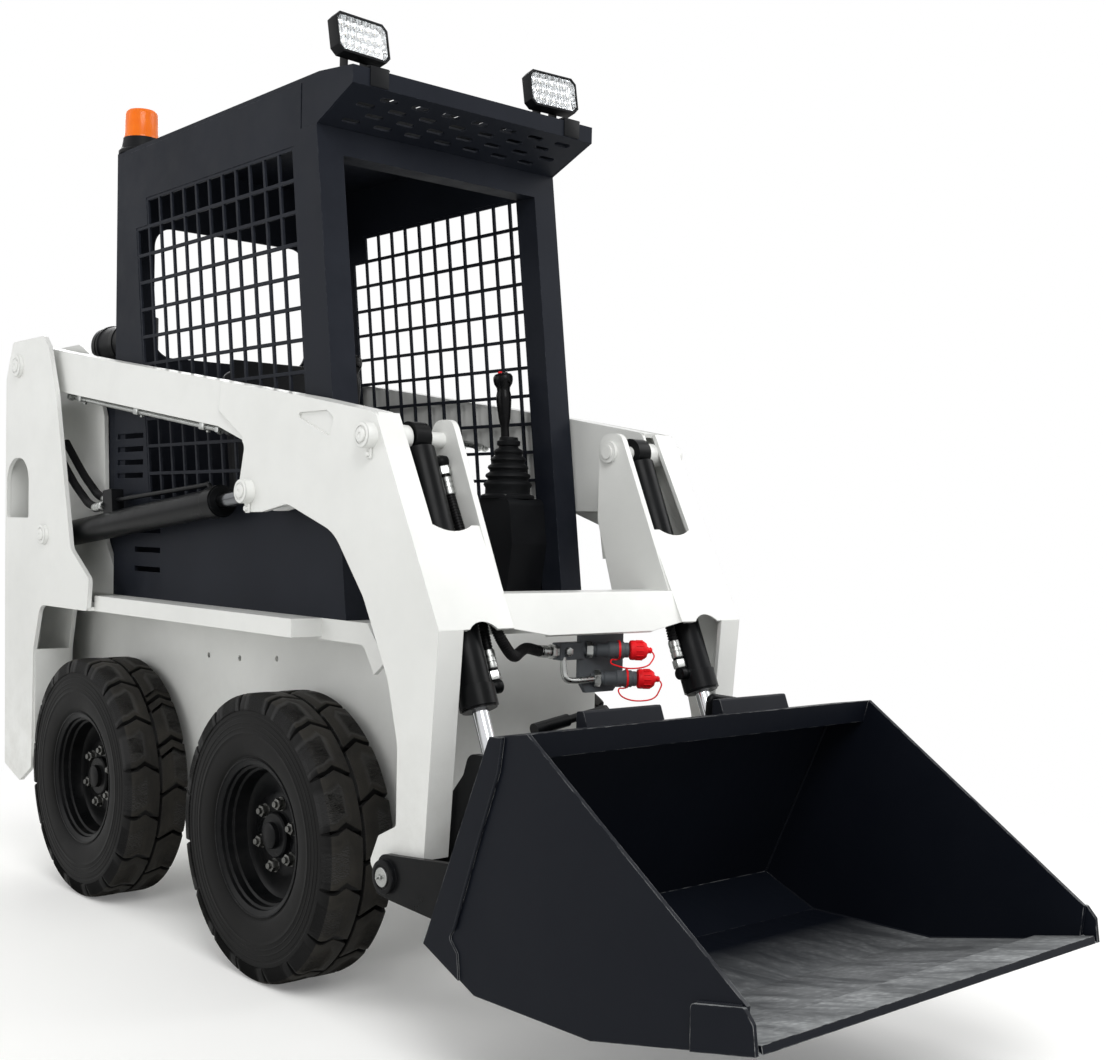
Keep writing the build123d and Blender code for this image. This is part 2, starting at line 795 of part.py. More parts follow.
with BuildPart() as lamp_lenses:
    for side in (-1, 1):
        add_block(
            (lamp_x - 6, lamp_x - 1),
            (side * lamp_y - lamp_width / 2 + 6.3, side * lamp_y + lamp_width / 2 - 6.3),
            (lamp_z - lamp_height / 2 + 6.3, lamp_z + lamp_height / 2 - 6.3),
        )
lamp_lenses.part.label = "lamp_lenses"
export_step(lamp_lenses.part, "parts/lamp_lenses.step")

beacon_x, beacon_y = cab_rear + 26.0, -cab_half + 56.0
roof_z = cab_top + roof_thickness
with BuildPart() as beacon:
    for low, high, radius in ((0, 12, 60), (12, 44, 50), (44, 120, 46)):
        with BuildSketch(Plane.XY.offset(roof_z + low)) as disc:
            with Locations((beacon_x, beacon_y)):
                Circle(radius)
        extrude(disc.sketch, amount=high - low)
    fillet(beacon.edges().group_by(Axis.Z)[-1], 10)
    wing = [
        (cab_rear - 62, roof_z - 20, 0),
        (cab_rear - 0.5, roof_z - 36, 0),
        (cab_rear - 0.5, roof_z + 0.3, 0),
        (beacon_x, roof_z + 0.3, 0),
        (beacon_x, roof_z + 8, 0),
        (cab_rear - 30, roof_z + 8, 0),
        (cab_rear - 38, roof_z - 8, 0),
    ]
    add_plate(wing, beacon_y - 34, beacon_y + 34)
beacon.part.label = "beacon"
export_step(beacon.part, "parts/beacon.step")

with BuildPart() as air_cleaner:
    stack_x, stack_y = cab_rear - 139.0, -cab_half + 133.0
    for low, high, radius in ((0, 60, 24), (60, 190, 56), (190, 212, 40)):
        with BuildSketch(Plane.XY.offset(hood_top + low)) as disc:
            with Locations((stack_x, stack_y)):
                Circle(radius)
        extrude(disc.sketch, amount=high - low)
air_cleaner.part.label = "air_cleaner"
export_step(air_cleaner.part, "parts/air_cleaner.step")

# ---- Lift arms ------------------------------------------------------------------------------

beam_nick = (-898.0, 1444.0)
beam_crown = (125.0, 1288.0)
gusset_rear = (-236.0, 1237.0)

outer_outline = [
    (pivot_x - 5, pivot_z + 64, 30),
    (beam_nick[0], beam_nick[1], 0),
    (beam_crown[0], beam_crown[1], 0),
    (knee_x, knee_z, 25),
    (bend_x, bend_z, 10),
    (toe_x, toe_z, 5),
    (545.0, 300.0, 20),
    (452.0, 296.0, 25),
    (412.0, 345.0, 15),
    (440.0, 402.0, 10),
    (498.0, 430.0, 10),
    (497.0, 590.0, 60),
    (462.0, 712.0, 60),
    (372.0, 872.0, 90),
    (262.0, 1000.0, 120),
    (80.0, 1058.0, 60),
    (-24.0, 1040.0, 20),
    (lift_pin_x - 4, lift_pin_z - 46, 30),
    (lift_pin_x - 48, lift_pin_z + 4, 30),
    (-102.0, 1195.0, 20),
    (gusset_rear[0], gusset_rear[1], 10),
    (-1137.0, 1369.0, 10),
    (pivot_x - 5, 1392.0, 40),
]
inner_gusset = [
    (pivot_x - 5, pivot_z + 64, 30),
    (beam_nick[0], beam_nick[1], 0),
    (beam_crown[0], beam_crown[1], 0),
    (knee_x - 20, knee_z + 2, 25),
    (knee_x - 40, 1150.0, 20),
    (262.0, 1060.0, 60),
    (80.0, 1062.0, 60),
    (-24.0, 1044.0, 20),
    (lift_pin_x - 4, lift_pin_z - 42, 30),
    (lift_pin_x - 44, lift_pin_z + 4, 30),
    (-98.0, 1195.0, 20),
    (gusset_rear[0] + 4, gusset_rear[1] + 2, 10),
    (-1137.0, 1371.0, 10),
    (pivot_x - 5, 1394.0, 40),
]
web_outline = [
    (tilt_pin_x - 34, tilt_pin_z + 42, 30),
    (tilt_pin_x + 34, tilt_pin_z + 42, 30),
    (bend_x - 10, bend_z, 5),
    (bend_x - 12, cross_low, 5),
    (bend_x - 190, cross_low, 30),
    (tilt_pin_x - 34, 1040.0, 30),
]
front_run = ((knee_x, knee_z), (bend_x, bend_z), (toe_x, toe_z))
arm_strip = 10.0
cover_sheet = 8.0
cover_top = 1020.0
set_back = 6.0  # of the rear beam behind the knee plate
knee_edge = ((-214.0, 1323.0), (-225.0, 1273.0), (-114.0, 1208.0))  # rear edge of the knee plate
knee_recess = ((94.0, 1252.0), (229.0, 1252.0), (254.0, 1236.0), (240.0, 1198.0))
recess_depth = 5.0
scallop_radius = 91.5
scallop_rise = 78.0  # centre above the cover's top edge
notch_radius = 50.0
notch_drop = 36.0  # centre under the bend


def build_arm(side):
    """One arm: rear box beam, knee gussets, flanged leg and pin bosses."""
    outer = (side * arm_outer, side * (arm_outer - arm_plate))
    inner = (side * arm_inner, side * (arm_inner + 8))
    across = (side * (arm_inner + 4), side * (arm_outer - set_back - 2))
    high = between(front_run[0], front_run[1], (knee_z - cover_top) / (knee_z - bend_z))
    cover = (side * (web_y - 10), side * (arm_outer - leg_flange + 6))
    add_plate(fold([front_run[1], high], cover_sheet), *cover)
    run = Vector(knee_x - bend_x, 0, knee_z - bend_z).normalized()
    outward = Vector(run.Z, 0, -run.X)
    scallop = Vector(high[0], side * tilt_y, high[1]) + run * scallop_rise
    add_round(scallop - outward * 20, scallop + outward * 20, scallop_radius, Mode.SUBTRACT)
    notch = (bend_x - 40, side * tilt_y, bend_z - notch_drop)
    add_round(notch, (bend_x + 40, notch[1], notch[2]), notch_radius, Mode.SUBTRACT)
    add_plate(outer_outline, *outer)
    beam_field = [
        (pivot_x - 90, knee_edge[0][1] + 260, 0),
        (knee_edge[0][0], knee_edge[0][1] + 260, 0),
        *[(x, z, 0) for x, z in knee_edge],
        (knee_edge[2][0], 1150.0, 0),
        (pivot_x - 90, 1150.0, 0),
    ]
    add_plate(beam_field, side * (arm_outer - set_back), side * (arm_outer + 1), Mode.SUBTRACT)
    recess = [(x, z, 6) for x, z in knee_recess]
    add_plate(recess, side * (arm_outer - recess_depth), side * (arm_outer + 1), Mode.SUBTRACT)
    add_plate(inner_gusset, *inner)
    top_run = [(knee_x - 30, knee_z + 4), beam_crown, beam_nick, (pivot_x + 60, pivot_z + 56)]
    add_plate(fold(top_run, arm_strip), *across)
    add_plate(fold([(-1290.0, 1390.0), (-1137.0, 1370.0), gusset_rear], arm_strip), *across)
    flange = (side * (arm_outer - leg_flange), side * (arm_outer - 6))
    add_plate(fold([front_run[2], front_run[1], front_run[0]], arm_strip), *flange)
    web = (side * web_y, side * (web_y - 14))
    add_plate(web_outline, *web)
    back = (side * (web_y - 6), side * (arm_outer - 6))
    add_plate(fold([(366.0, 950.0), (350.0, 1040.0), (350.0, 1140.0)], -8.0), *back)
    boss = (tower_inner + running_gap, tower_outer - tower_plate - running_gap)
    add_pin(pivot_x, pivot_z, side * boss[0], side * boss[1], 46)
    add_pin(pivot_x, pivot_z, side * (tower_inner - 5), side * (tower_outer + 5), 25.0, Mode.SUBTRACT)
    add_pin(tilt_pin_x, tilt_pin_z, side * (arm_outer - 6), side * (arm_outer + 22), 26)
    add_pin(tilt_pin_x, tilt_pin_z, side * (web_y - 26), side * (arm_outer - 2), pin_radius)
    add_pin(tilt_pin_x, tilt_pin_z, side * (web_y - 22), side * (web_y - 10), 25)
    add_pin(tilt_pin_x, tilt_pin_z, side * (tilt_y + eye_width / 2 + 3), side * (arm_outer - 6), 26)
    add_pin(lift_pin_x, lift_pin_z, side * (arm_outer - 6), side * (arm_outer + 22), 27)
    add_pin(foot_pin_x, foot_pin_z, side * (arm_outer - 58), side * arm_outer, 40)
    add_pin(foot_pin_x, foot_pin_z, side * (arm_outer - 70), side * (arm_outer + 10), 20.3, Mode.SUBTRACT)


with BuildPart() as boom:
    build_arm(-1)
    build_arm(1)
    cross = [(bend_x, cross_low + 2), (bend_x - 34, cross_high), (bend_x - 110, cross_high)]
    add_plate(fold(cross, arm_strip), -web_y + 6, web_y - 6)
    with BuildSketch(Plane.YZ.offset(bend_x - 120)) as rise:
        for side in (-1, 1):
            ends = [(150, cross_low - 10), (150, cross_low + 2)]
            ends += [(web_y + 1, cross_low + 19), (web_y + 1, cross_low - 10)]
            Polygon(*[(side * y, z) for y, z in ends], align=None)
    extrude(rise.sketch, amount=160, mode=Mode.SUBTRACT)
boom.part.label = "boom"
export_step(boom.part, "parts/boom.step")

pipe_radius = 6.0
clip_width = 24.0
pipe_run = ((-1137.0, 1369.0), gusset_rear)
pipe_drop = 10.0
coupler_x = 585.0
coupler_high, coupler_low = 764.0, 702.0
coupler_rows = ((coupler_high, 60.0), (coupler_low, 85.0))  # height, start across the machine
hose_radius = 10.0
coupler_hose = (
    (coupler_x - 87, -tilt_y + 52, cross_high + 81),
    (coupler_x - 29, -tilt_y + 52, cross_high + 3),
    (coupler_x + 13, -tilt_y + 54, cross_low + 1),
    (coupler_x + 3, -tilt_y + 106, coupler_high - 9),
    (coupler_x - 14, -tilt_y + 140, coupler_high + 12),
    (coupler_x - 30, -100.0, coupler_high),
    (coupler_x - 38, -50.0, coupler_high),
)
coupler_tube = (
    (coupler_x - 30, -48.0, coupler_high - 10),
    (coupler_x - 20, -48.0, coupler_low + 10),
    (coupler_x - 24, 50.0, coupler_low),
)
with BuildPart() as boom_lines:
    run_length = hypot(pipe_run[1][0] - pipe_run[0][0], pipe_run[1][1] - pipe_run[0][1])
    for side in (-1, 1):
        low = [(x, z - pipe_drop) for x, z in pipe_run]
        start, end = towards(*low, 30.0), towards(*low, run_length - 20.0)
        for y in (side * (arm_inner + 22), side * (arm_outer - 26)):
            add_round((start[0], y, start[1]), (end[0], y, end[1]), pipe_radius)
        for share in (0.12, 0.5, 0.88):
            middle = run_length * share
            clip = [towards(*pipe_run, middle + shift) for shift in (-clip_width / 2, clip_width / 2)]
            lowered = [(x, z - attach_gap) for x, z in clip]
            strap = fold(lowered, -pipe_drop - pipe_radius)
            add_plate(strap, side * (arm_inner + 12), side * (arm_outer - 16))
    add_block((coupler_x - 40, coupler_x - 30), (0.0, 120.0), (670.0, cross_high - arm_strip))
    for z, y in coupler_rows:
        add_round((coupler_x - 34, y - 50, z), (coupler_x, y, z), 15)
        add_round((coupler_x - 2, y - 2, z), (coupler_x + 24, y + 34, z), 18)
    add_block((coupler_x - 52, coupler_x - 24), (-60.0, 8.0), (coupler_high - 20, coupler_high + 16))
    add_hose(coupler_hose, 30.0, hose_radius)
    add_hose(coupler_tube, 16.0, pipe_radius + 1)
boom_lines.part.label = "boom_lines"
export_step(boom_lines.part, "parts/boom_lines.step")

with BuildPart() as coupler_caps:
    for z, y in coupler_rows:
        add_round((coupler_x + 24.3, y + 34.4, z), (coupler_x + 46, y + 64, z), 21)
coupler_caps.part.label = "coupler_caps"
export_step(coupler_caps.part, "parts/coupler_caps.step")

# ---- Cylinders ------------------------------------------------------------------------------

# name, y, base, eye, barrel length, barrel radius, rod radius, travel left to close
cylinder_table = (
    (
        "lift",
        lift_y,
        (lift_base_x, lift_base_z),
        (lift_pin_x, lift_pin_z),
        lift_barrel_length,
        lift_barrel_radius,
        lift_rod_radius,
        lift_close,
    ),
    (
        "tilt",
        tilt_y,
        (tilt_pin_x, tilt_pin_z),
        (crown_pin_x, crown_pin_z),
        tilt_barrel_length,
        tilt_barrel_radius,
        tilt_rod_radius,
        tilt_close,
    ),
)
# along the cylinder from its eye, out from its axis
collar_length = 42.0
lift_port = (318.0, 92.0)
lift_port_size = (54.0, 34.0)
lift_pipe = ((345.0, 62.0), (800.0, 47.0), (846.0, 47.0), (846.0, 30.0))
tilt_ports = (52.0, 533.0)
port_out = 52.0


def beside(base, tip, along, out):
    """Point along a cylinder from its base and out from its axis, to its upper side."""
    span = hypot(tip[0] - base[0], tip[1] - base[1])
    ux, uz = (tip[0] - base[0]) / span, (tip[1] - base[1]) / span
    return (base[0] + ux * along - uz * out, base[1] + uz * along + ux * out)


for kind, y, base, tip, length, barrel_radius, rod_radius, close in cylinder_table:
    for side, name in ((-1, "right"), (1, "left")):
        neck = towards(base, tip, eye_radius - 6)
        mouth = towards(base, tip, length)
        eye_low, eye_high = side * (y - eye_width / 2), side * (y + eye_width / 2)
        with BuildPart() as barrel:
            add_pin(*base, eye_low, eye_high, eye_radius)
            add_round((neck[0], side * y, neck[1]), (mouth[0], side * y, mouth[1]), barrel_radius)
            bore_start = towards(base, tip, eye_radius + bore_depth_left)
            add_round(
                (bore_start[0], side * y, bore_start[1]),
                (mouth[0], side * y, mouth[1]),
                rod_radius + pin_clearance,
                Mode.SUBTRACT,
            )
            add_pin(*base, side * (y - 60), side * (y + 60), pin_radius + pin_clearance, Mode.SUBTRACT)
            collar_start = towards(base, tip, length - collar_length - 4)
            collar_plane = Plane(
                origin=(collar_start[0], side * y, collar_start[1]),
                z_dir=(tip[0] - base[0], 0, tip[1] - base[1]),
            )
            with BuildSketch(collar_plane) as collar:
                Circle(barrel_radius + 4)
                Circle(barrel_radius - 2, mode=Mode.SUBTRACT)
            extrude(collar.sketch, amount=collar_length)
            if kind == "lift":
                low, high = lift_port[0] - lift_port_size[0] / 2, lift_port[0] + lift_port_size[0] / 2
                block = [
                    (*beside(base, tip, low, barrel_radius - 6), 0),
                    (*beside(base, tip, low, lift_port[1]), 6),
                    (*beside(base, tip, high, lift_port[1]), 6),
                    (*beside(base, tip, high, barrel_radius - 6), 0),
                ]
                add_plate(block, side * (y - lift_port_size[1] / 2), side * (y + lift_port_size[1] / 2))
                places = [beside(base, tip, *point) for point in lift_pipe]
                pipe = [(x, side * y, z) for x, z in places]
                add_hose(pipe, 14.0, pipe_radius)
            else:
                port_y = side * (y - port_out)
                for along, sense in zip(tilt_ports, (1, -1)):
                    port = beside(base, tip, along, 4.0)
                    port_root = side * (y - barrel_radius + 6)
                    add_round((port[0], port_root, port[1]), (port[0], port_y, port[1]), 12)
                    sleeve = beside(base, tip, along + sense * 62, 4.0)
                    add_round((port[0], port_y, port[1]), (sleeve[0], port_y, sleeve[1]), 11)
                    tail = beside(base, tip, along + sense * 185, 12.0)
                    add_round((sleeve[0], port_y, sleeve[1]), (tail[0], port_y, tail[1]), hose_radius - 1)
        barrel.part.label = f"{kind}_barrel_{name}"
        export_step(barrel.part, f"parts/{kind}_barrel_{name}.step")
        with BuildPart() as rod:
            span = hypot(tip[0] - base[0], tip[1] - base[1])
            rod_start = towards(base, tip, eye_radius + bore_depth_left + close)
            rod_end = towards(base, tip, span - eye_radius + 8)
            add_pin(*tip, eye_low, eye_high, eye_radius)
            add_round((rod_start[0], side * y, rod_start[1]), (rod_end[0], side * y, rod_end[1]), rod_radius)
        rod.part.label = f"{kind}_rod_{name}"
        export_step(rod.part, f"parts/{kind}_rod_{name}.step")

for side, name in ((-1, "right"), (1, "left")):
    base, tip = (lift_base_x, lift_base_z), (lift_pin_x, lift_pin_z)
    port_end = lift_port[0] - lift_port_size[0] / 2 - attach_gap
    with BuildPart() as hoses:
        for share, drop in ((-14.0, 0.0), (14.0, 24.0)):
            hose_y = side * (lift_y + share)
            route = [
                beside(base, tip, port_end, lift_port[1] - 16 - drop),
                beside(base, tip, port_end - 60, lift_port[1] - 16 - drop),
                (-1080.0, 1142.0 - drop),
                (-1192.0, 1232.0 - drop),
            ]
            add_hose([(x, hose_y, z) for x, z in route], 60.0, hose_radius)
            sleeve = [beside(base, tip, port_end - reach, lift_port[1] - 16 - drop) for reach in (0, 42)]
            start, end = [(x, hose_y, z) for x, z in sleeve]
            add_round(start, end, hose_radius + 2)
    hoses.part.label = f"lift_hoses_{name}"
    export_step(hoses.part, f"parts/lift_hoses_{name}.step")

# ---- Quick attach ---------------------------------------------------------------------------

back_length = hypot(bucket_back_high[0] - bucket_back_low[0], bucket_back_high[1] - bucket_back_low[1])


def on_back(along, behind):
    """Point at a distance up the bucket's back from its low corner, and a distance behind it."""
    ux = (bucket_back_high[0] - bucket_back_low[0]) / back_length
    uz = (bucket_back_high[1] - bucket_back_low[1]) / back_length
    return (bucket_back_low[0] + ux * along - uz * behind, bucket_back_low[1] + uz * along + ux * behind)


with BuildPart() as quick_attach:
    face = attach_gap
    back = attach_gap + attach_plate
    add_plate(
        [
            (*on_back(30, face), 0),
            (*on_back(415, face), 0),
            (*on_back(415, back), 0),
            (*on_back(30, back), 0),
        ],
        -arm_outer + 28,
        arm_outer - 28,
    )
    for side in (-1, 1):
        outer_ear = [
            (foot_pin_x - 42, foot_pin_z - 10, 30),
            (foot_pin_x - 20, foot_pin_z + 42, 30),
            (foot_pin_x + 30, foot_pin_z + 46, 20),
            (*on_back(160, back - 4), 0),
            (*on_back(30, back - 4), 0),
            (foot_pin_x + 10, foot_pin_z - 44, 20),
            (foot_pin_x - 34, foot_pin_z - 38, 20),
        ]
        add_plate(outer_ear, side * (arm_outer + 5), side * (arm_outer + 19))
        add_plate(
            [
                (*on_back(30, back - 8), 0),
                (*on_back(160, back - 8), 0),
                (*on_back(160, face), 0),
                (*on_back(30, face), 0),
            ],
            side * (arm_outer - 38),
            side * (arm_outer + 19),
        )
        inner_ear = [
            (foot_pin_x - 42, foot_pin_z - 10, 30),
            (foot_pin_x - 20, foot_pin_z + 42, 30),
            (crown_pin_x - 40, crown_pin_z - 10, 20),
            (crown_pin_x - 25, crown_pin_z + 34, 25),
            (crown_pin_x + 25, crown_pin_z + 34, 20),
            (*on_back(395, back - 4), 0),
            (*on_back(30, back - 4), 0),
            (foot_pin_x + 10, foot_pin_z - 44, 20),
            (foot_pin_x - 34, foot_pin_z - 38, 20),
        ]
        add_plate(inner_ear, side * (tilt_y + 30), side * (tilt_y + 44))
        add_plate(
            [
                (crown_pin_x - 30, crown_pin_z - 30, 20),
                (crown_pin_x - 30, crown_pin_z + 34, 20),
                (crown_pin_x + 30, crown_pin_z + 34, 20),
                (*on_back(395, back - 4), 0),
                (*on_back(240, back - 4), 0),
            ],
            side * (tilt_y - 46),
            side * (tilt_y - 32),
        )
        add_pin(foot_pin_x, foot_pin_z, side * (tilt_y + 32), side * (arm_outer + 27), 20.0)
        add_pin(foot_pin_x, foot_pin_z, side * (arm_outer + 5), side * (arm_outer + 27), 34.0)
quick_attach.part.label = "quick_attach"
export_step(quick_attach.part, "parts/quick_attach.step")

lever_x = 800.0
# start and end across the machine, heights there
lever_reach = {-1: (165.0, 342.0, 675.0, 650.0), 1: (153.0, 270.0, 681.0, 643.0)}
with BuildPart() as attach_levers:
    for side, (near, far, z_near, z_far) in lever_reach.items():
        root = on_back(360, back + 16.3)
        add_pin(*root, side * (near - 26), side * (near + 6), 16)
        bar = [
            (root[0], side * (near - 10), root[1]),
            (lever_x - 6, side * (near - 10), z_near),
            (lever_x, side * (near + 60), between((z_near, 0), (z_far, 0), 0.3)[0]),
            (lever_x, side * far, z_far),
        ]
        add_hose(bar, 8.0, 8.0)
        add_round(between(bar[2], bar[3], 0.3), bar[3], 12)
attach_levers.part.label = "attach_levers"
export_step(attach_levers.part, "parts/attach_levers.step")

# ---- Bucket ---------------------------------------------------------------------------------

lip_root = towards(bucket_lip_front, bucket_heel, 48.0)
edge_root = towards(bucket_tip, bucket_floor, 120.0)
edge_thick = 14.0
cutter_thick = 8.0
strip_proud = 4.0
rear_strip = [
    (*bucket_back_high, 0),
    (bucket_back_high[0] + 37, bucket_back_high[1] + 3, 0),
    (bucket_back_high[0] + 28, bucket_back_high[1] - 57, 0),
    (bucket_heel[0] - 1, bucket_heel[1] + 255, 0),
    (bucket_heel[0] - 55, bucket_heel[1] + 107, 0),
    (bucket_heel[0] - 71, bucket_heel[1] + 88, 10),
    (bucket_heel[0] - 46, bucket_heel[1] + 64, 10),
    (bucket_heel[0] - 41, bucket_heel[1] + 17, 0),
    (*bucket_back_low, 0),
]
shell_path = [
    lip_root,
    bucket_lip_front,
    bucket_back_high,
    bucket_back_low,
    bucket_heel,
    bucket_floor,
    edge_root,
]
with BuildPart() as bucket:
    add_plate(fold(shell_path, bucket_sheet), -bucket_half + 2, bucket_half - 2)
    side_rows = [
        (*bucket_back_high, 0),
        (*bucket_lip_front, 0),
        (*bucket_cheek, 0),
        (bucket_tip[0] - 30, bucket_tip[1] + 8, 0),
        (bucket_tip[0] - 30, bucket_tip[1] - 7, 0),
        (*bucket_floor, 0),
        (*bucket_heel, 0),
        (*bucket_back_low, 0),
    ]
    high = bucket_back_high
    hook = [
        (high[0] + 6, high[1] - 2, 0),
        (high[0] + 36, high[1] + 4, 0),
        (high[0] + 24, high[1] + 34, 5),
        (high[0] + 6, high[1] + 32, 5),
    ]
    for side in (-1, 1):
        add_plate(side_rows, side * bucket_half, side * (bucket_half - bucket_sheet))
        add_plate(hook, side * 84, side * 286)
        add_plate(rear_strip, side * (bucket_half - 4), side * (bucket_half + strip_proud))
bucket.part.label = "bucket"
export_step(bucket.part, "parts/bucket.step")

with BuildPart() as cutting_edge:
    edge_half = bucket_half - bucket_sheet - attach_gap
    add_plate(fold([edge_root, bucket_tip], edge_thick), -edge_half, edge_half)
    for side in (-1, 1):
        cutter = [
            (*towards(bucket_tip, bucket_floor, 128.0), 0),
            (1330.0, 318.0, 8),
            (*bucket_cheek, 6),
            (bucket_tip[0] - 6, bucket_tip[1] + 44, 6),
            (*bucket_tip, 0),
        ]
        add_plate(cutter, side * (bucket_half + attach_gap), side * (bucket_half + cutter_thick))
        nose = [
            (bucket_tip[0] - 29, bucket_tip[1] - 6.5, 0),
            (bucket_tip[0] - 29, bucket_tip[1] + 8, 0),
            (*bucket_tip, 0),
        ]
        add_plate(nose, side * (edge_half - 5), side * (bucket_half + 4))
cutting_edge.part.label = "cutting_edge"
export_step(cutting_edge.part, "parts/cutting_edge.step")
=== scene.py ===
from functools import partial
from math import cos, pi, radians, sin

import bmesh
import bpy
from mathutils import Matrix, Vector
from numpy import interp


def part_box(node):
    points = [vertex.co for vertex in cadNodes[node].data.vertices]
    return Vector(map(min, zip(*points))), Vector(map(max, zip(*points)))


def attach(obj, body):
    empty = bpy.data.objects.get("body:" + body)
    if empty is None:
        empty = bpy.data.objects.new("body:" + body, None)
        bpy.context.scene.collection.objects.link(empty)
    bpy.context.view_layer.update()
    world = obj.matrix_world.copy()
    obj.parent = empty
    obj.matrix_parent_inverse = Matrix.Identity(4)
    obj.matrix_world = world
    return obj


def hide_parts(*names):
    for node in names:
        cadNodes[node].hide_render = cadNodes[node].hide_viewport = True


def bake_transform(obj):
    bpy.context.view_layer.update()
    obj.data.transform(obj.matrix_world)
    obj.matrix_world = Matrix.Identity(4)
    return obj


# Skid steer loader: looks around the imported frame. Metres, +X forward, +Y left, +Z up.

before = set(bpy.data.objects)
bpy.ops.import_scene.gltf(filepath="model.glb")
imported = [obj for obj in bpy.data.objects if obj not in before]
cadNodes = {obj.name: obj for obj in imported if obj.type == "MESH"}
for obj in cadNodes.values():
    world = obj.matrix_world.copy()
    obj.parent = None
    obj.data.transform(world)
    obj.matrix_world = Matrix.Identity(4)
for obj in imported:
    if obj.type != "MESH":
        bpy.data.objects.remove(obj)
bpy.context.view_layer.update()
wheelNames = ("front_right", "front_left", "rear_right", "rear_left")
sideNames = ((-1, "right"), (1, "left"))
white = (1.0, 1.0, 1.0, 1.0)
multiply = {"operation": "MULTIPLY"}
print("frame loaded:", len(cadNodes), "nodes")

cameraSettings = {
    "place": (2.7553, -2.0835, 1.0183),
    "azimuth": 50.05,
    "elevation": 2.51,
    "roll": 1.26,
    "lens": 46.94,
    "sensor": 36.0,
    "shift": 0.0542,
    "reach": 100.0,
}
lightSettings = {
    "sky": 0.6,
    "aim": (0.0, 0.0, 0.8),
    # name, place, size, power
    "softBoxes": (
        ("keyLight", (4.4, -2.1, 4.8), 3.0, 200.0),
        ("sideLight", (-2.8, -4.4, 2.6), 3.0, 54.0),
        ("farLight", (2.4, 4.4, 4.0), 3.0, 85.0),
        ("rearLight", (-4.6, 1.5, 3.6), 2.6, 70.0),
    ),
    "floorLook": {"colour": "#F4F4F2", "shade": "#F0F0EE"},
    "floorSize": 40.0,
    "floorLift": 0.14,
    "floorFade": (1.6, 2.9),
}


def addObject(name, data):
    made = bpy.data.objects.new(name, data)
    bpy.context.scene.collection.objects.link(made)
    return made


def meshOf(bm, name):
    mesh = bpy.data.meshes.new(name)
    bm.to_mesh(mesh)
    bm.free()
    return mesh


def buildCamera():
    settings = cameraSettings
    azimuth, elevation, roll = (radians(settings[key]) for key in ("azimuth", "elevation", "roll"))
    turn = Matrix.Rotation(azimuth, 4, "Z") @ Matrix.Rotation(pi / 2 - elevation, 4, "X")
    data = bpy.data.cameras.new("camera")
    data.lens = settings["lens"]
    data.sensor_width = settings["sensor"]
    data.shift_x = data.shift_y = settings["shift"]
    data.clip_end = settings["reach"]
    camera = addObject("camera", data)
    camera.matrix_world = Matrix.Translation(settings["place"]) @ turn @ Matrix.Rotation(roll, 4, "Z")
    bpy.context.scene.camera = camera


def hexColour(code):
    channels = [int(code[start:start + 2], 16) / 255 for start in (1, 3, 5)]
    linear = [c / 12.92 if c <= 0.04045 else ((c + 0.055) / 1.055) ** 2.4 for c in channels]
    return (*linear, 1.0)


def socket(sockets, key):
    if isinstance(key, int):
        return sockets[key]
    return next(one for one in sockets if one.enabled and one.name == key)


def addNode(tree, kind, settings=None, links=None):
    node = tree.nodes.new("ShaderNode" + kind)
    for key, value in (settings or {}).items():
        if isinstance(key, str) and hasattr(node, key):
            setattr(node, key, value)
        else:
            socket(node.inputs, key).default_value = value
    for key, source in (links or {}).items():
        if isinstance(source, bpy.types.Node):
            source = next(out for out in source.outputs if out.enabled)
        tree.links.new(source, socket(node.inputs, key))
    return node


def startMaterial(name):
    material = bpy.data.materials.new(name)
    material.use_nodes = True
    material.node_tree.nodes.clear()
    add = partial(addNode, material.node_tree)
    return material, add, add("TexCoord").outputs


def closeMaterial(material, values, colour=None, rough=None, bump=None):
    add = partial(addNode, material.node_tree)
    links = {"Base Color": colour, "Roughness": rough, "Normal": bump}
    shader = add("BsdfPrincipled", values, {key: node for key, node in links.items() if node})
    add("OutputMaterial", None, {"Surface": shader})
    return material


def ramp(low, high, first=0.0, last=1.0):  # what a range of values is mapped to
    return {"From Min": low, "From Max": high, "To Min": first, "To Max": last}


def layer(code):  # a colour laid over another
    return {"data_type": "RGBA", "B": hexColour(code)}


def mottle(add, place, look, noise, span=None):  # two tones of one colour in soft patches
    blotch = add("TexNoise", noise, {"Vector": place})
    share = blotch
    if span:
        share = add("MapRange", ramp(*span), {"Value": blotch})
    tones = {**layer(look["shade"]), "A": hexColour(look["colour"])}
    return add("Mix", tones, {"Factor": share}), blotch


def wearEdges(add, place, under, look, wear):  # chips of paint are lost along the edges
    rounded = add("Bevel", {"samples": 4, "Radius": look["edge"]})
    flat = add("NewGeometry").outputs["Normal"]
    along = add("VectorMath", {"operation": "DOT_PRODUCT"}, {0: rounded, 1: flat}).outputs["Value"]
    edges = add("MapRange", ramp(*wear["edges"], 0.0, wear["most"]), {"Value": along})
    chips = add("TexNoise", {"Scale": wear["grain"], "Detail": 6.0}, {"Vector": place})
    chipped = add("MapRange", ramp(*wear["chips"]), {"Value": chips})
    worn = add("Math", multiply, {0: edges, 1: chipped})
    return add("Mix", layer(look["bare"]), {"Factor": worn, "A": under}), rounded


def looksFrom(keys, rows):
    return {row[0]: dict(zip(keys, row[1:])) for row in rows}


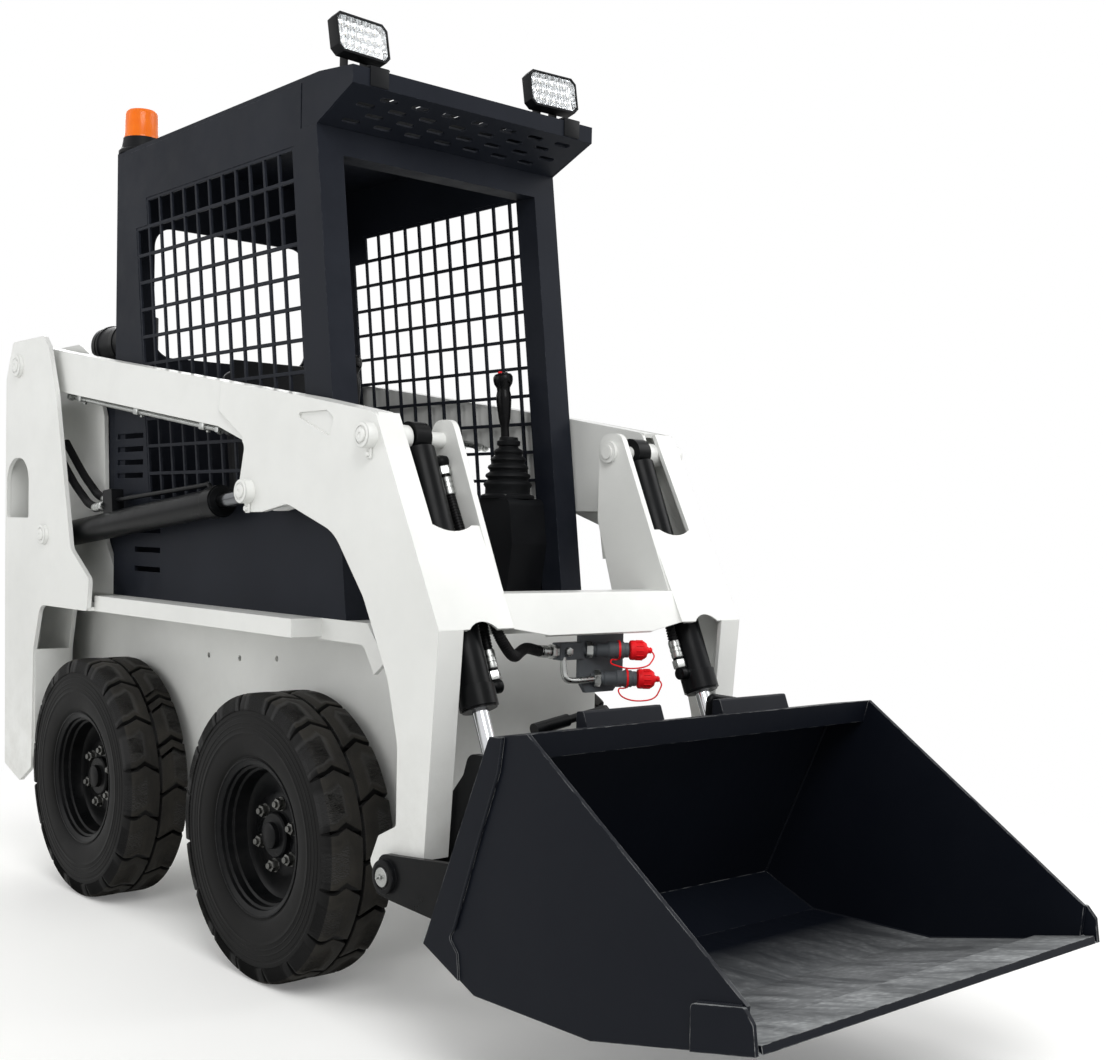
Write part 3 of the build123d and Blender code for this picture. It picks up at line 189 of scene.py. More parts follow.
# enamel sprayed over welded plate: a soft orange peel in the gloss, edges rounded by the paint
enamelLooks = looksFrom((
    "colour", "shade", "dust", "dustTop", "dustMost", "bare", "bareMost",
    "rough", "coat", "peel", "peelDepth", "edge", "shine",
), (
    ("whiteEnamel", "#E1E2DF", "#DADBD8", "#A29D93", 0.66, 0.45, "#C9C9C4", 0.25,
     0.34, 0.25, 5.0, 0.00012, 0.0022, 0.5),
    ("cabEnamel", "#171A21", "#1D2027", "#55545A", 2.4, 0.08, "#5A5E66", 0.5,
     0.46, 0.0, 3.5, 0.0001, 0.0016, 0.07),
    ("blackEnamel", "#090A0B", "#101113", "#4B4742", 0.7, 0.1, "#4E4F52", 0.4,
     0.3, 0.0, 3.5, 0.00008, 0.0014, 0.09),
    ("beadEnamel", "#11141A", "#181B22", "#4B4742", 0.7, 0.1, "#3C3F44", 0.12,
     0.42, 0.0, 3.5, 0.00008, 0.0008, 0.12),
    ("greyEnamel", "#5C6064", "#4B4F53", "#6A665F", 0.9, 0.25, "#3A3B3D", 0.3,
     0.55, 0.0, 6.0, 0.0003, 0.002, 0.3),
))


def sprayedEnamel(name, look):
    material, add, coords = startMaterial(name)
    place = coords["Object"]
    base = mottle(add, place, look, {"Scale": 3.5, "Detail": 5.0, "Roughness": 0.6}, (0.38, 0.66))[0]
    height = add("SeparateXYZ", None, {"Vector": place}).outputs["Z"]
    low = add("MapRange", ramp(look["dustTop"], 0.0), {"Value": height})
    grime = add("TexNoise", {"Scale": 14.0, "Detail": 8.0, "Roughness": 0.7}, {"Vector": place})
    specks = add("MapRange", ramp(0.42, 0.72, 0.0, look["dustMost"]), {"Value": grime})
    dusty = add("Math", multiply, {0: low, 1: specks})
    dusted = add("Mix", layer(look["dust"]), {"Factor": dusty, "A": base})
    wear = {"edges": (0.985, 0.9), "most": look["bareMost"], "grain": 60.0, "chips": (0.48, 0.6)}
    colour, rounded = wearEdges(add, place, dusted, look, wear)
    gloss = ramp(0.3, 0.7, look["rough"] - 0.05, look["rough"] + 0.12)
    rough = add("MapRange", gloss, {"Value": grime})
    peel = add("TexNoise", {"Scale": 1000 / look["peel"], "Detail": 2.0}, {"Vector": place})
    relief = {"Strength": 0.35, "Distance": look["peelDepth"]}
    bump = add("Bump", relief, {"Height": peel, "Normal": rounded})
    coat = {"Coat Weight": look["coat"], "Coat Roughness": 0.12}
    paint = {"Specular IOR Level": look["shine"], "IOR": 1.5, **coat}
    return closeMaterial(material, paint, colour, rough, bump)


# the bucket's black enamel, scraped by loads to a grey sheen on the floor and bright along the lip
bucketLook = {
    "colour": "#0D1017", "shade": "#13161D", "scuff": "#B4B7B8", "bare": "#A9ABAB", "edge": 0.0022,
    "floorTop": 0.33, "floorRear": 0.9, "floorFade": 0.3, "film": 0.32,
}


def scrapedEnamel(name, look, floorWear, edgeWear):
    material, add, coords = startMaterial(name)
    place = coords["Object"]
    facing = add("SeparateXYZ", None, {"Vector": coords["Normal"]}).outputs["Z"]
    level = add("MapRange", ramp(0.75, 0.92), {"Value": facing})
    where = add("SeparateXYZ", None, {"Vector": place}).outputs
    top, rear = look["floorTop"], look["floorRear"]
    low = add("MapRange", ramp(top + 0.05, top), {"Value": where["Z"]})
    front = add("MapRange", ramp(rear, rear + look["floorFade"]), {"Value": where["X"]})
    onFloor = add("Math", multiply, {0: level, 1: low})
    toLip = add("Math", multiply, {0: onFloor, 1: front})
    stretched = add("Mapping", {"Scale": (5.0, 16.0, 5.0)}, {"Vector": place})
    streaks = {"Scale": 1.0, "Detail": 9.0, "Roughness": 0.72, "Distortion": 0.6}
    scrapes = add("TexNoise", streaks, {"Vector": stretched})
    patches = add("MapRange", ramp(0.38, 0.62), {"Value": scrapes})
    cells = add("TexVoronoi", {"Scale": 70.0}, {"Vector": place}).outputs["Distance"]
    dabs = add("MapRange", ramp(0.55, 0.15, 0.55), {"Value": cells})
    dabbed = add("Math", multiply, {0: patches, 1: dabs})
    film = add("MapRange", ramp(0.0, 1.0, look["film"]), {"Value": dabbed})
    rubbed = add("Math", multiply, {0: film, 1: toLip})
    floorShare = add("Math", {**multiply, 1: floorWear}, {0: rubbed})
    base = mottle(add, place, look, {"Scale": 3.0, "Detail": 5.0})[0]
    scuffed = add("Mix", layer(look["scuff"]), {"Factor": floorShare, "A": base})
    wear = {"edges": (0.99, 0.88), "most": edgeWear, "grain": 38.0, "chips": (0.42, 0.58)}
    colour, rounded = wearEdges(add, place, scuffed, look, wear)
    rough = add("MapRange", ramp(0.3, 0.7, 0.34, 0.52), {"Value": scrapes})
    relief = {"Strength": 0.4, "Distance": 0.0003}
    bump = add("Bump", relief, {"Height": scrapes, "Normal": rounded})
    return closeMaterial(material, {"Specular IOR Level": 0.09, "IOR": 1.5}, colour, rough, bump)


# true metals: hard chrome ground and polished round the rod, and zinc plate with its dull bright skin
metalLooks = looksFrom(("colour", "shade", "rough", "grain", "bump"), (
    ("hardChrome", "#D9DADC", "#C6C8CB", 0.1, (4.0, 900.0, 4.0), 0.03),
    ("zincPlate", "#BFC1BF", "#8E908E", 0.3, (120.0, 120.0, 120.0), 0.15),
    # a darker copy of the hard chrome: painted shade, the dark reflection of the lift rods' shaded
    # surroundings
    ("oiledChrome", "#77797C", "#5E6063", 0.16, (4.0, 900.0, 4.0), 0.03),
    ("dullZinc", "#7C7C79", "#4A4A48", 0.38, (120.0, 120.0, 120.0), 0.15),
    ("lampReflector", "#EDEFF0", "#DCDEE0", 0.12, (90.0, 90.0, 90.0), 0.05),
))


def bareMetal(name, look):
    material, add, coords = startMaterial(name)
    grained = add("Mapping", {"Scale": look["grain"]}, {"Vector": coords["Object"]})
    grain = add("TexNoise", {"Scale": 1.0, "Detail": 5.0}, {"Vector": grained})
    colour = mottle(add, coords["Object"], look, {"Scale": 28.0, "Detail": 5.0})[0]
    gloss = ramp(0.3, 0.7, look["rough"] * 0.7, look["rough"] * 1.5)
    rough = add("MapRange", gloss, {"Value": grain})
    bump = add("Bump", {"Strength": look["bump"], "Distance": 0.0003}, {"Height": grain})
    return closeMaterial(material, {"Metallic": 1.0}, colour, rough, bump)


# moulded and rubbery finishes: grain is the texture's size in millimetres, depth its height in metres
mouldedLooks = looksFrom(("colour", "shade", "rough", "grain", "depth", "sheen"), (
    ("tyreRubber", "#090909", "#111111", 0.6, 3.0, 0.0003, 0.03),
    # tread rubber: scuffed grey, and lighter still as a painted highlight of the lit tread
    ("treadRubber", "#201F1D", "#2F2D29", 0.72, 4.0, 0.0006, 0.04),
    ("hoseRubber", "#0E0E0F", "#151516", 0.46, 1.6, 0.0003, 0.02),
    ("bootRubber", "#0C0D0E", "#121315", 0.5, 1.2, 0.0002, 0.03),
    ("mouldedBlack", "#101113", "#17181A", 0.46, 0.9, 0.00012, 0.0),
    ("gripPlastic", "#0C0C0D", "#141415", 0.26, 1.5, 0.00005, 0.0),
    ("redPlastic", "#F2262D", "#DC1B22", 0.38, 2.0, 0.0001, 0.0),
    ("seatVinyl", "#131416", "#1A1B1D", 0.48, 1.8, 0.0004, 0.08),
))


def mouldedFinish(name, look):
    material, add, coords = startMaterial(name)
    place = coords["Object"]
    noise = {"Scale": 9.0, "Detail": 6.0, "Roughness": 0.65}
    colour, blotch = mottle(add, place, look, noise, (0.35, 0.65))
    grain = add("TexVoronoi", {"Scale": 1000 / look["grain"]}, {"Vector": place})
    relief = {"Strength": 0.5, "Distance": look["depth"]}
    bump = add("Bump", relief, {"Height": grain.outputs["Distance"]})
    gloss = ramp(0.3, 0.7, look["rough"] - 0.06, look["rough"] + 0.1)
    rough = add("MapRange", gloss, {"Value": blotch})
    skin = {"Specular IOR Level": 0.1, "Sheen Weight": look["sheen"], "Sheen Roughness": 0.5, "IOR": 1.5}
    return closeMaterial(material, skin, colour, rough, bump)


# a dyed acrylic dome whose thick walls turn deep orange; the yellow phosphor of a lamp under its clear drop
dyedLooks = {
    "amberLens": {
        "colour": "#F97F08", "shade": "#EE6604", "noise": {"Scale": 40.0, "Detail": 3.0},
        "skin": {"Roughness": 0.22, "IOR": 1.49, "Specular IOR Level": 0.25, "Transmission Weight": 0.1},
    },
    "ledChip": {
        "colour": "#E8E2B8", "shade": "#D9D6C8", "noise": {"Scale": 300.0}, "skin": {"Roughness": 0.2},
    },
}


def dyedFinish(name, look):
    material, add, coords = startMaterial(name)
    colour = mottle(add, coords["Object"], look, look["noise"])[0]
    return closeMaterial(material, look["skin"], colour)


def clearLens(name):  # polycarbonate cover: clear, with faint moulded flutes
    material, add, coords = startMaterial(name)
    bands = {"Scale": 38.0, "bands_direction": "Y"}
    flutes = add("TexWave", bands, {"Vector": coords["Object"]})
    bump = add("Bump", {"Strength": 0.15, "Distance": 0.0004}, {"Height": flutes})
    clear = {"Base Color": white, "Roughness": 0.03, "IOR": 1.45, "Transmission Weight": 1.0}
    return closeMaterial(material, clear, bump=bump)


finishes = {
    "bucketEnamel": scrapedEnamel("bucketEnamel", bucketLook, 0.75, 0.55),
    "lipEnamel": scrapedEnamel("lipEnamel", bucketLook, 1.0, 0.9),
    "clearLens": clearLens("clearLens"),
}
for make, looks in (
    (sprayedEnamel, enamelLooks), (bareMetal, metalLooks),
    (mouldedFinish, mouldedLooks), (dyedFinish, dyedLooks),
):
    finishes.update({name: make(name, look) for name, look in looks.items()})
print("finishes made:", len(finishes))

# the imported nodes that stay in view, by finish
nodeFinishes = {
    "whiteEnamel": ("chassis", "fenders", "bumper", "tower_right", "tower_left", "boom"),
    "cabEnamel": (
        "cab_frame", "cab_mesh_right", "cab_mesh_left", "cab_roof", "cab_back", "engine_hood", "rear_door",
    ),
    "blackEnamel": (
        "quick_attach", "attach_levers", "axles", "lift_barrel_right", "lift_barrel_left",
        "tilt_barrel_right", "tilt_barrel_left",
    ),
    "greyEnamel": ("engine_block",),
    "bucketEnamel": ("bucket",),
    "lipEnamel": ("cutting_edge",),
    "hardChrome": ("tilt_rod_right", "tilt_rod_left"),
    # the lift rods take the darker chrome, a painted reflection of shade
    "oiledChrome": ("lift_rod_right", "lift_rod_left"),
    "mouldedBlack": ("seat_box", "consoles", "air_cleaner"),
}
for finish, nodes in nodeFinishes.items():
    for node in nodes:
        materials = cadNodes[node].data.materials
        materials.clear()
        materials.append(finishes[finish])


def buildFloor():
    settings = lightSettings
    material, add, coords = startMaterial("paleFloor")
    colour = mottle(add, coords["Object"], settings["floorLook"], {"Scale": 2.0, "Detail": 3.0})[0]
    seen = add("LightPath").outputs["Is Camera Ray"]
    lift = add("Math", {**multiply, 1: settings["floorLift"]}, {0: seen})
    matt = {"Roughness": 0.9, "Specular IOR Level": 0.0, "Emission Color": white}
    shader = add("BsdfPrincipled", matt, {"Base Color": colour, "Emission Strength": lift})
    # away from the machine the floor fades to the white of the background, for the camera alone
    away = add("VectorMath", {"operation": "LENGTH"}, {0: coords["Object"]}).outputs["Value"]
    fade = add("MapRange", ramp(*settings["floorFade"]), {"Value": away})
    shown = add("Math", multiply, {0: fade, 1: seen})
    plain = add("Emission", {"Color": white, "Strength": 1.0})
    surface = add("MixShader", None, {0: shown, 1: shader, 2: plain})
    add("OutputMaterial", None, {"Surface": surface})
    bm = bmesh.new()
    bmesh.ops.create_grid(bm, x_segments=1, y_segments=1, size=settings["floorSize"])
    floor = addObject("floor", meshOf(bm, "floor"))
    floor.data.materials.append(material)


def buildLight():
    world = bpy.data.worlds.new("studio")
    bpy.context.scene.world = world
    world.use_nodes = True
    world.node_tree.nodes.clear()
    add = partial(addNode, world.node_tree)
    rays = add("LightPath").outputs
    most = {"operation": "MAXIMUM"}
    seen = add("Math", most, {0: rays["Is Camera Ray"], 1: rays["Is Glossy Ray"]})
    shown = add("Math", most, {0: seen, 1: rays["Is Transmission Ray"]})
    strength = add("MapRange", ramp(0.0, 1.0, lightSettings["sky"]), {"Value": shown})
    background = add("Background", {"Color": white}, {"Strength": strength})
    add("OutputWorld", None, {"Surface": background})
    for name, place, size, power in lightSettings["softBoxes"]:
        data = bpy.data.lights.new(name, "AREA")
        data.size = size
        data.energy = power
        lamp = addObject(name, data)
        lamp.location = place
        towards = Vector(lightSettings["aim"]) - Vector(place)
        lamp.rotation_euler = towards.to_track_quat("-Z", "Y").to_euler()
    bpy.context.scene.view_settings.view_transform = "Standard"


buildCamera()
buildFloor()
buildLight()
print("camera, floor and lights in place")


def addPiece(bm, name, body, looks, replaced=(), sharp=35.0):
    bmesh.ops.recalc_face_normals(bm, faces=bm.faces)
    for face in bm.faces:
        face.smooth = True
    for edge in bm.edges:
        if len(edge.link_faces) == 2 and edge.calc_face_angle(0.0) > radians(sharp):
            edge.smooth = False
    piece = addObject(name, meshOf(bm, name))
    for look in looks:
        piece.data.materials.append(finishes[look])
    if body:
        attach(piece, body)
    if replaced:
        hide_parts(*replaced)
    return piece


def extrude(bm, faces, by):
    made = bmesh.ops.extrude_face_region(bm, geom=faces)["geom"]
    verts = [part for part in made if isinstance(part, bmesh.types.BMVert)]
    bmesh.ops.translate(bm, vec=by, verts=verts)
    return [part for part in made if isinstance(part, bmesh.types.BMFace)]


def metres(rows):  # sections are listed in millimetres
    return [tuple(value / 1000 for value in row) for row in rows]


def turnTo(axis, at):  # lays a shape made along Z down along an axis, with its foot at a point
    return Matrix.Translation(at) @ Vector(axis).to_track_quat("Z", "Y").to_matrix().to_4x4()


def shiftZ(height):
    return Matrix.Translation((0.0, 0.0, height))


def roundEdges(bm, edges, size, segments=2):
    bmesh.ops.bevel(bm, geom=edges, offset=size, segments=segments, profile=0.5, affect="EDGES", material=-1)


def settleNew(bm, known, look, place=Matrix()):  # gives the faces that aren't known their look and place
    faces = [face for face in bm.faces if face not in known]
    for face in faces:
        face.material_index = look
    verts = list({vert for face in faces for vert in face.verts})
    bmesh.ops.transform(bm, matrix=place, verts=verts)
    return verts


def lathe(bm, profile, place=Matrix(), steps=48, look=0):  # radius, height; turned round Z, then placed
    known = set(bm.faces)
    verts = [bm.verts.new((radius, 0.0, height)) for radius, height in profile]
    edges = [bm.edges.new(pair) for pair in zip(verts, verts[1:])]
    bmesh.ops.spin(
        bm, geom=verts + edges, cent=(0, 0, 0), axis=(0, 0, 1), angle=2 * pi, steps=steps, use_merge=True
    )
    made = {vert for face in bm.faces if face not in known for vert in face.verts}
    poles = [vert for vert in made if vert.co.xy.length < 1e-6]
    bmesh.ops.remove_doubles(bm, verts=poles, dist=1e-5)
    settleNew(bm, known, look, place)


def addHex(bm, place, across, height, look=0, edge=0.0008):  # a nut or bolt head standing on its foot
    known = set(bm.faces)
    made = bmesh.ops.create_cone(
        bm, cap_ends=True, segments=6, radius1=across / 1.732, radius2=across / 1.732, depth=height
    )["verts"]
    bmesh.ops.translate(bm, vec=(0, 0, height / 2), verts=made)
    lines = {line for vert in made for line in vert.link_edges}
    flat = [line for line in lines if abs(line.verts[0].co.z - line.verts[1].co.z) < 1e-6]
    roundEdges(bm, flat, edge)
    settleNew(bm, known, look, place)


def addBlock(bm, low, high, place=Matrix(), edge=0.0, look=0, segments=2):
    known = set(bm.faces)
    made = bmesh.ops.create_cube(bm, size=1.0)["verts"]
    bmesh.ops.scale(bm, vec=[b - a for a, b in zip(low, high)], verts=made)
    bmesh.ops.translate(bm, vec=[(a + b) / 2 for a, b in zip(low, high)], verts=made)
    if edge:
        roundEdges(bm, list({line for vert in made for line in vert.link_edges}), edge, segments)
    settleNew(bm, known, look, place)


def tubeMesh(points, radius, order=3, sides=5, steps=10):  # a round tube along a smooth line through a route
    data = bpy.data.curves.new("tube", "CURVE")
    data.dimensions = "3D"
    data.bevel_depth = radius
    data.bevel_resolution = sides
    data.resolution_u = steps
    data.use_fill_caps = True
    line = data.splines.new("NURBS")
    line.points.add(len(points) - 1)
    for point, place in zip(line.points, points):
        point.co = (*place, 1.0)
    line.order_u = order
    line.use_endpoint_u = True
    holder = bpy.data.objects.new("tube", data)
    mesh = bpy.data.meshes.new_from_object(holder)
    bpy.data.objects.remove(holder)
    bpy.data.curves.remove(data)
    return mesh


def addTube(bm, points, radius, look=0, order=3, sides=5, steps=10):
    known = set(bm.faces)
    mesh = tubeMesh(points, radius, order, sides, steps)
    bm.from_mesh(mesh)
    bpy.data.meshes.remove(mesh)
    bmesh.ops.remove_doubles(bm, verts=settleNew(bm, known, look), dist=1e-6)


wheelSettings = {
    "lugs": 16,
    "radius": 0.32,
    "gap": 0.0125,
    # the groove between two blocks, from the middle of the tread to its shoulder: across, along
    "groove": ((0.004, -0.007), (0.042, 0.016), (0.064, 0.003), (0.086, 0.001)),
    # a block's cross-section over its shoulder: across, radius
    "block": metres((
        (3.5, 300), (3.5, 319), (23, 319.8), (42, 320), (64, 319.6), (73, 317.8), (78, 313), (83.8, 296),
        (85.6, 284), (80, 281), (70, 294), (42, 299),
    )),
    # carcass from the bead to the tread, with the fine rings moulded on the side wall: across, radius
    "side": metres((
        (69, 165.5), (70.2, 174), (73.8, 176.5), (74.2, 180.5), (77.2, 183), (79.7, 188.5), (82.2, 198),
        (84.2, 211), (85, 223), (85.2, 230), (85.9, 231), (85.9, 232.6), (85.2, 233.6), (85.1, 241.5),
        (85.8, 242.5), (85.8, 244.1), (84.9, 245.1), (84.6, 253), (85.3, 254), (85.3, 255.6),
        (84.3, 256.6), (83.6, 266), (82.6, 267), (82.4, 272), (83.4, 273.5), (83.2, 280), (81.5, 288),
        (78.5, 295), (72, 300),
    )),
    # rim from the axle out over the dish, the lip, the seat of the bead and the inner dish: along, radius
    "rim": metres((
        (42, 0), (42, 25), (39.5, 29), (28, 30), (27, 48), (23.5, 51), (12.5, 52), (12, 90), (8, 96),
        (4, 110), (4, 133), (10, 143), (22, 147), (40, 147.8), (41.5, 150), (43, 153), (58, 153.8),
        (59.5, 156.2), (61, 159.2), (69, 160.2), (71.2, 163), (72.2, 169), (74.5, 172.5), (76, 173.2),
        (76, 175.7), (73, 176), (70.5, 174.5), (69.8, 164.8), (-69.8, 164.8), (-70.5, 174.5), (-74, 176),
        (-76, 174), (-74.5, 169), (-70, 159), (-50, 154.5), (-10, 148), (-4, 140), (-4, 56), (-30, 52),
        (-30, 28.2),
    )),
    "blockSteps": 6,
    "blockEdge": 0.0022,
    "blockRoot": 0.295,  # edges over this radius are rounded
    "draft": 0.22,
    "treadFoot": 0.3125,  # rubber over this radius is scuffed, and painted lighter as a painted highlight of the lit tread
    "rimEye": (0.0282, 0.012),
    "nuts": 6,
    "nutCircle": 0.072,
    "nutAcross": 0.024,
    "valve": (0.137, 1.1),  # radius, angle
}


def buildTyre():
    settings = wheelSettings
    radius = settings["radius"]
    bm = bmesh.new()
    section = settings["side"] + [(-across, height) for across, height in settings["side"][::-1]]
    profile = [(height, across) for across, height in section]
    lathe(bm, profile + profile[:1], steps=120)
    bmesh.ops.remove_doubles(bm, verts=bm.verts, dist=1e-6)
    pitch = 2 * pi * radius / settings["lugs"]
    length = pitch - settings["gap"]
    master = bmesh.new()
    corners = [master.verts.new((across, 0.0, height)) for across, height in settings["block"]]
    steps = settings["blockSteps"]
    front = [master.faces.new(corners)]
    for step in range(steps):
        front = extrude(master, front, (0.0, length / steps, 0.0))
    bmesh.ops.recalc_face_normals(master, faces=master.faces)
    outer = [
        edge for edge in master.edges
        if len(edge.link_faces) == 2 and edge.calc_face_angle(0.0) > radians(50)
        and min(vert.co.z for vert in edge.verts) > settings["blockRoot"]
    ]
    roundEdges(master, outer, settings["blockEdge"])
    for vert in master.verts:  # draft: a block is wider at its root
        vert.co.y += (vert.co.y / length - 0.5) * (radius - vert.co.z) * settings["draft"]
        vert.co.y += settings["gap"] / 2 + float(interp(vert.co.x, *zip(*settings["groove"])))
    block = meshOf(master, "block")
    for row in (-1, 1):
        known = set(bm.faces)
        bm.from_mesh(block)
        faces = [face for face in bm.faces if face not in known]
        for vert in {vert for face in faces for vert in face.verts}:
            angle = vert.co.y / radius + (0.5 if row > 0 else 0.0) * 2 * pi / settings["lugs"]
            vert.co = Vector((vert.co.z * cos(angle), vert.co.z * sin(angle), row * vert.co.x))
        bmesh.ops.spin(
            bm, geom=faces, cent=(0, 0, 0), axis=(0, 0, 1), angle=2 * pi * (1 - 1 / settings["lugs"]),
            steps=settings["lugs"] - 1, use_duplicate=True,
        )
    bpy.data.meshes.remove(block)
    for face in bm.faces:
        # rubber out on the tread takes the lighter finish: scuff and painted highlight
        face.material_index = 1 if face.calc_center_median().xy.length > settings["treadFoot"] else 0
    return bm


def buildRim():
    settings = wheelSettings
    bm = bmesh.new()
    profile = [(height, along) for along, height in settings["rim"]]
    eye, floor = settings["rimEye"]
    lathe(bm, profile + [(eye, floor), (0.0, floor)], steps=96)
    for number in range(settings["nuts"]):
        turn = Matrix.Rotation(2 * pi * (number + 0.35) / settings["nuts"], 4, "Z")
        place = turn @ Matrix.Translation((settings["nutCircle"], 0.0, 0.0118))
        lathe(bm, [(0.0, 0.003), (0.0155, 0.003), (0.0165, 0.0), (0.0, 0.0)], place, steps=24, look=1)
        addHex(bm, place @ shiftZ(0.0028), settings["nutAcross"], 0.013, look=1, edge=0.0016)
        lathe(bm, [(0.0, 0.023), (0.0062, 0.023), (0.0072, 0.022), (0.0072, 0.012)], place, steps=16, look=1)
    reach, angle = settings["valve"]
    valve = Matrix.Rotation(angle, 4, "Z") @ turnTo((0.55, 0.0, 1.0), (reach, 0.0, 0.006))
    stem = metres(((0, 34), (3.5, 34), (3.8, 20), (4.8, 19), (5.5, 0)))
    lathe(bm, stem, valve, steps=16, look=2)
    return bm


# piece, node, mesh, looks, slot
wheelParts = (
    ("tread.", "tyre_", meshOf(buildTyre(), "tyreMesh"), ("tyreRubber", "treadRubber"), "tyre"),
    (
        "dish.", "rim_", meshOf(buildRim(), "rimMesh"), ("blackEnamel", "dullZinc", "bootRubber"),
        "black_paint",
    ),
)
for name in wheelNames:
    for piece, node, mesh, looks, slot in wheelParts:
        low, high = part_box(node + name)
        outward = pi / 2 if low.y + high.y > 0 else -pi / 2
        bm = bmesh.new()
        bm.from_mesh(mesh)
        turn = Matrix.Translation((low + high) / 2) @ Matrix.Rotation(-outward, 4, "X")
        bmesh.ops.transform(bm, matrix=turn, verts=bm.verts)
        addPiece(bm, piece + name, "wheel_" + name, looks, (node + name,))
for part in wheelParts:
    bpy.data.meshes.remove(part[2])
print("wheels built")


lampSettings = {
    "tilt": 11.0,  # degrees the lamp looks up
    "turn": 4.0,  # degrees towards the machine's middle
    "wide": 0.144, "high": 0.09, "deep": 0.03,
    "corner": 0.013,
    "cups": (6, 3),  # across, down
    "cupPitch": (0.0185, 0.0215),
    "fins": 9,
    "finPitch": 0.0118,
}


def cutBox(wide, high, deep, corner):  # a box with its four corners cut, looking out along Z, up along Y
    bm = bmesh.new()
    bmesh.ops.create_cube(bm, size=1.0)
    bmesh.ops.scale(bm, vec=(wide, high, deep), verts=bm.verts)
    upright = [edge for edge in bm.edges if abs(edge.verts[0].co.z - edge.verts[1].co.z) > 0.001]
    roundEdges(bm, upright, corner, 1)
    return bm


def buildLamp(side, centre):
    settings = lampSettings
    wide, high, deep, corner = (settings[key] for key in ("wide", "high", "deep", "corner"))
    bm = cutBox(wide, high, deep, corner)
    front = next(face for face in bm.faces if face.normal.z > 0.9)
    back = next(face for face in bm.faces if face.normal.z < -0.9)
    bmesh.ops.inset_individual(bm, faces=[back], thickness=0.01, depth=0.006)
    for thickness, depth in ((0.0055, 0.0), (0.0004, -0.0035), (0.006, -0.0125)):
        bmesh.ops.inset_individual(bm, faces=[front], thickness=thickness, depth=depth)
    front.material_index = 1
    for edge in front.edges:
        for face in edge.link_faces:
            face.material_index = 1
    shell = [edge for edge in bm.edges if edge.calc_face_angle(0.0) > radians(40)]
    roundEdges(bm, shell, 0.0009)
    columns, rows = settings["cups"]
    pitch, rowPitch = settings["cupPitch"]
    cup = metres(((0, 0.6), (3, 0.8), (5.5, 4.2), (7.2, 9.8), (8.4, 10), (8.8, 0)))
    chip = metres(((0, 4.2), (1.6, 3.6), (2.4, 2), (2.4, 0.6)))
    floor = deep / 2 - 0.0158
    for row in range(rows):
        shift = pitch / 4 * (1 if row % 2 else -1)
        for column in range(columns):
            across = (column - (columns - 1) / 2) * pitch + shift
            at = Matrix.Translation((across, (row - (rows - 1) / 2) * rowPitch, floor))
            lathe(bm, cup, at, steps=20, look=1)
            lathe(bm, chip, at, steps=12, look=2)
    tall = high / 2 - 0.01
    for number in range(settings["fins"]):
        x = (number - (settings["fins"] - 1) / 2) * settings["finPitch"]
        addBlock(bm, (x - 0.0014, -tall, -deep / 2 - 0.01), (x + 0.0014, tall, -deep / 2))
    pane = cutBox(wide - 0.0128, high - 0.0128, 0.0022, corner - 0.0026)
    bmesh.ops.translate(pane, vec=(0, 0, deep / 2 - 0.0024), verts=pane.verts)
    tilt, inward = radians(settings["tilt"]), radians(settings["turn"])
    forward = Vector((cos(tilt), -side * sin(inward), sin(tilt))).normalized()
    level = Vector((0, 0, 1)).cross(forward).normalized()
    turn = Matrix((level, forward.cross(level), forward)).transposed().to_4x4()
    place = Matrix.Translation(centre) @ turn
    for part in (bm, pane):
        bmesh.ops.transform(part, matrix=place, verts=part.verts)
    # the bent bracket with its clamping bolt, and the strap over the visor
    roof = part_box("cab_roof")[1]
    tip, foot = roof.x, roof.z - 0.01
    x, y, z = centre
    for low, high in (
        ((x - 0.034, y - 0.0278, foot), (x - 0.006, y - 0.0242, z - 0.02)),
        ((x - 0.034, y + 0.0242, foot), (x - 0.006, y + 0.0278, z - 0.02)),
        ((x - 0.036, y - 0.028, foot - 0.002), (tip - 0.0005, y + 0.028, foot + 0.0022)),
        ((tip - 0.0008, y - 0.024, foot - 0.04), (tip + 0.0026, y + 0.024, foot + 0.0022)),
    ):
        addBlock(bm, low, high, edge=0.0006)
    bolt = turnTo((0, 0, 1), (x - 0.006, y, foot + 0.002))
    lathe(bm, metres(((0, 1.6), (8.5, 1.6), (9, 0), (0, 0))), bolt, steps=24, look=3)
    addHex(bm, bolt @ shiftZ(0.0016), 0.013, 0.0062, look=3)
    return bm, pane


def buildLamps():
    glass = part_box("lamp_lenses")
    lamps, panes = bmesh.new(), bmesh.new()
    middleZ = (glass[0].z + glass[1].z) / 2
    reach = glass[1].y - lampSettings["wide"] / 2 + 0.0063
    for side in (-1, 1):
        bm, pane = buildLamp(side, Vector((glass[1].x - 0.02, side * reach, middleZ)))
        for source, target in ((bm, lamps), (pane, panes)):
            part = meshOf(source, "part")
            target.from_mesh(part)
            bpy.data.meshes.remove(part)
    looks = ("mouldedBlack", "lampReflector", "ledChip", "zincPlate")
    addPiece(lamps, "lampHousings", "machine", looks, ("work_lamps",))
    addPiece(panes, "lampPanes", "machine", ("clearLens",), ("lamp_lenses",))


beaconSettings = {
    "foot": 0.06, "low": 0.0465, "high": 0.0425,  # radii of the base, of the dome's foot and of its top
    "collar": 0.044, "tall": 0.12, "wall": 0.0028,
}


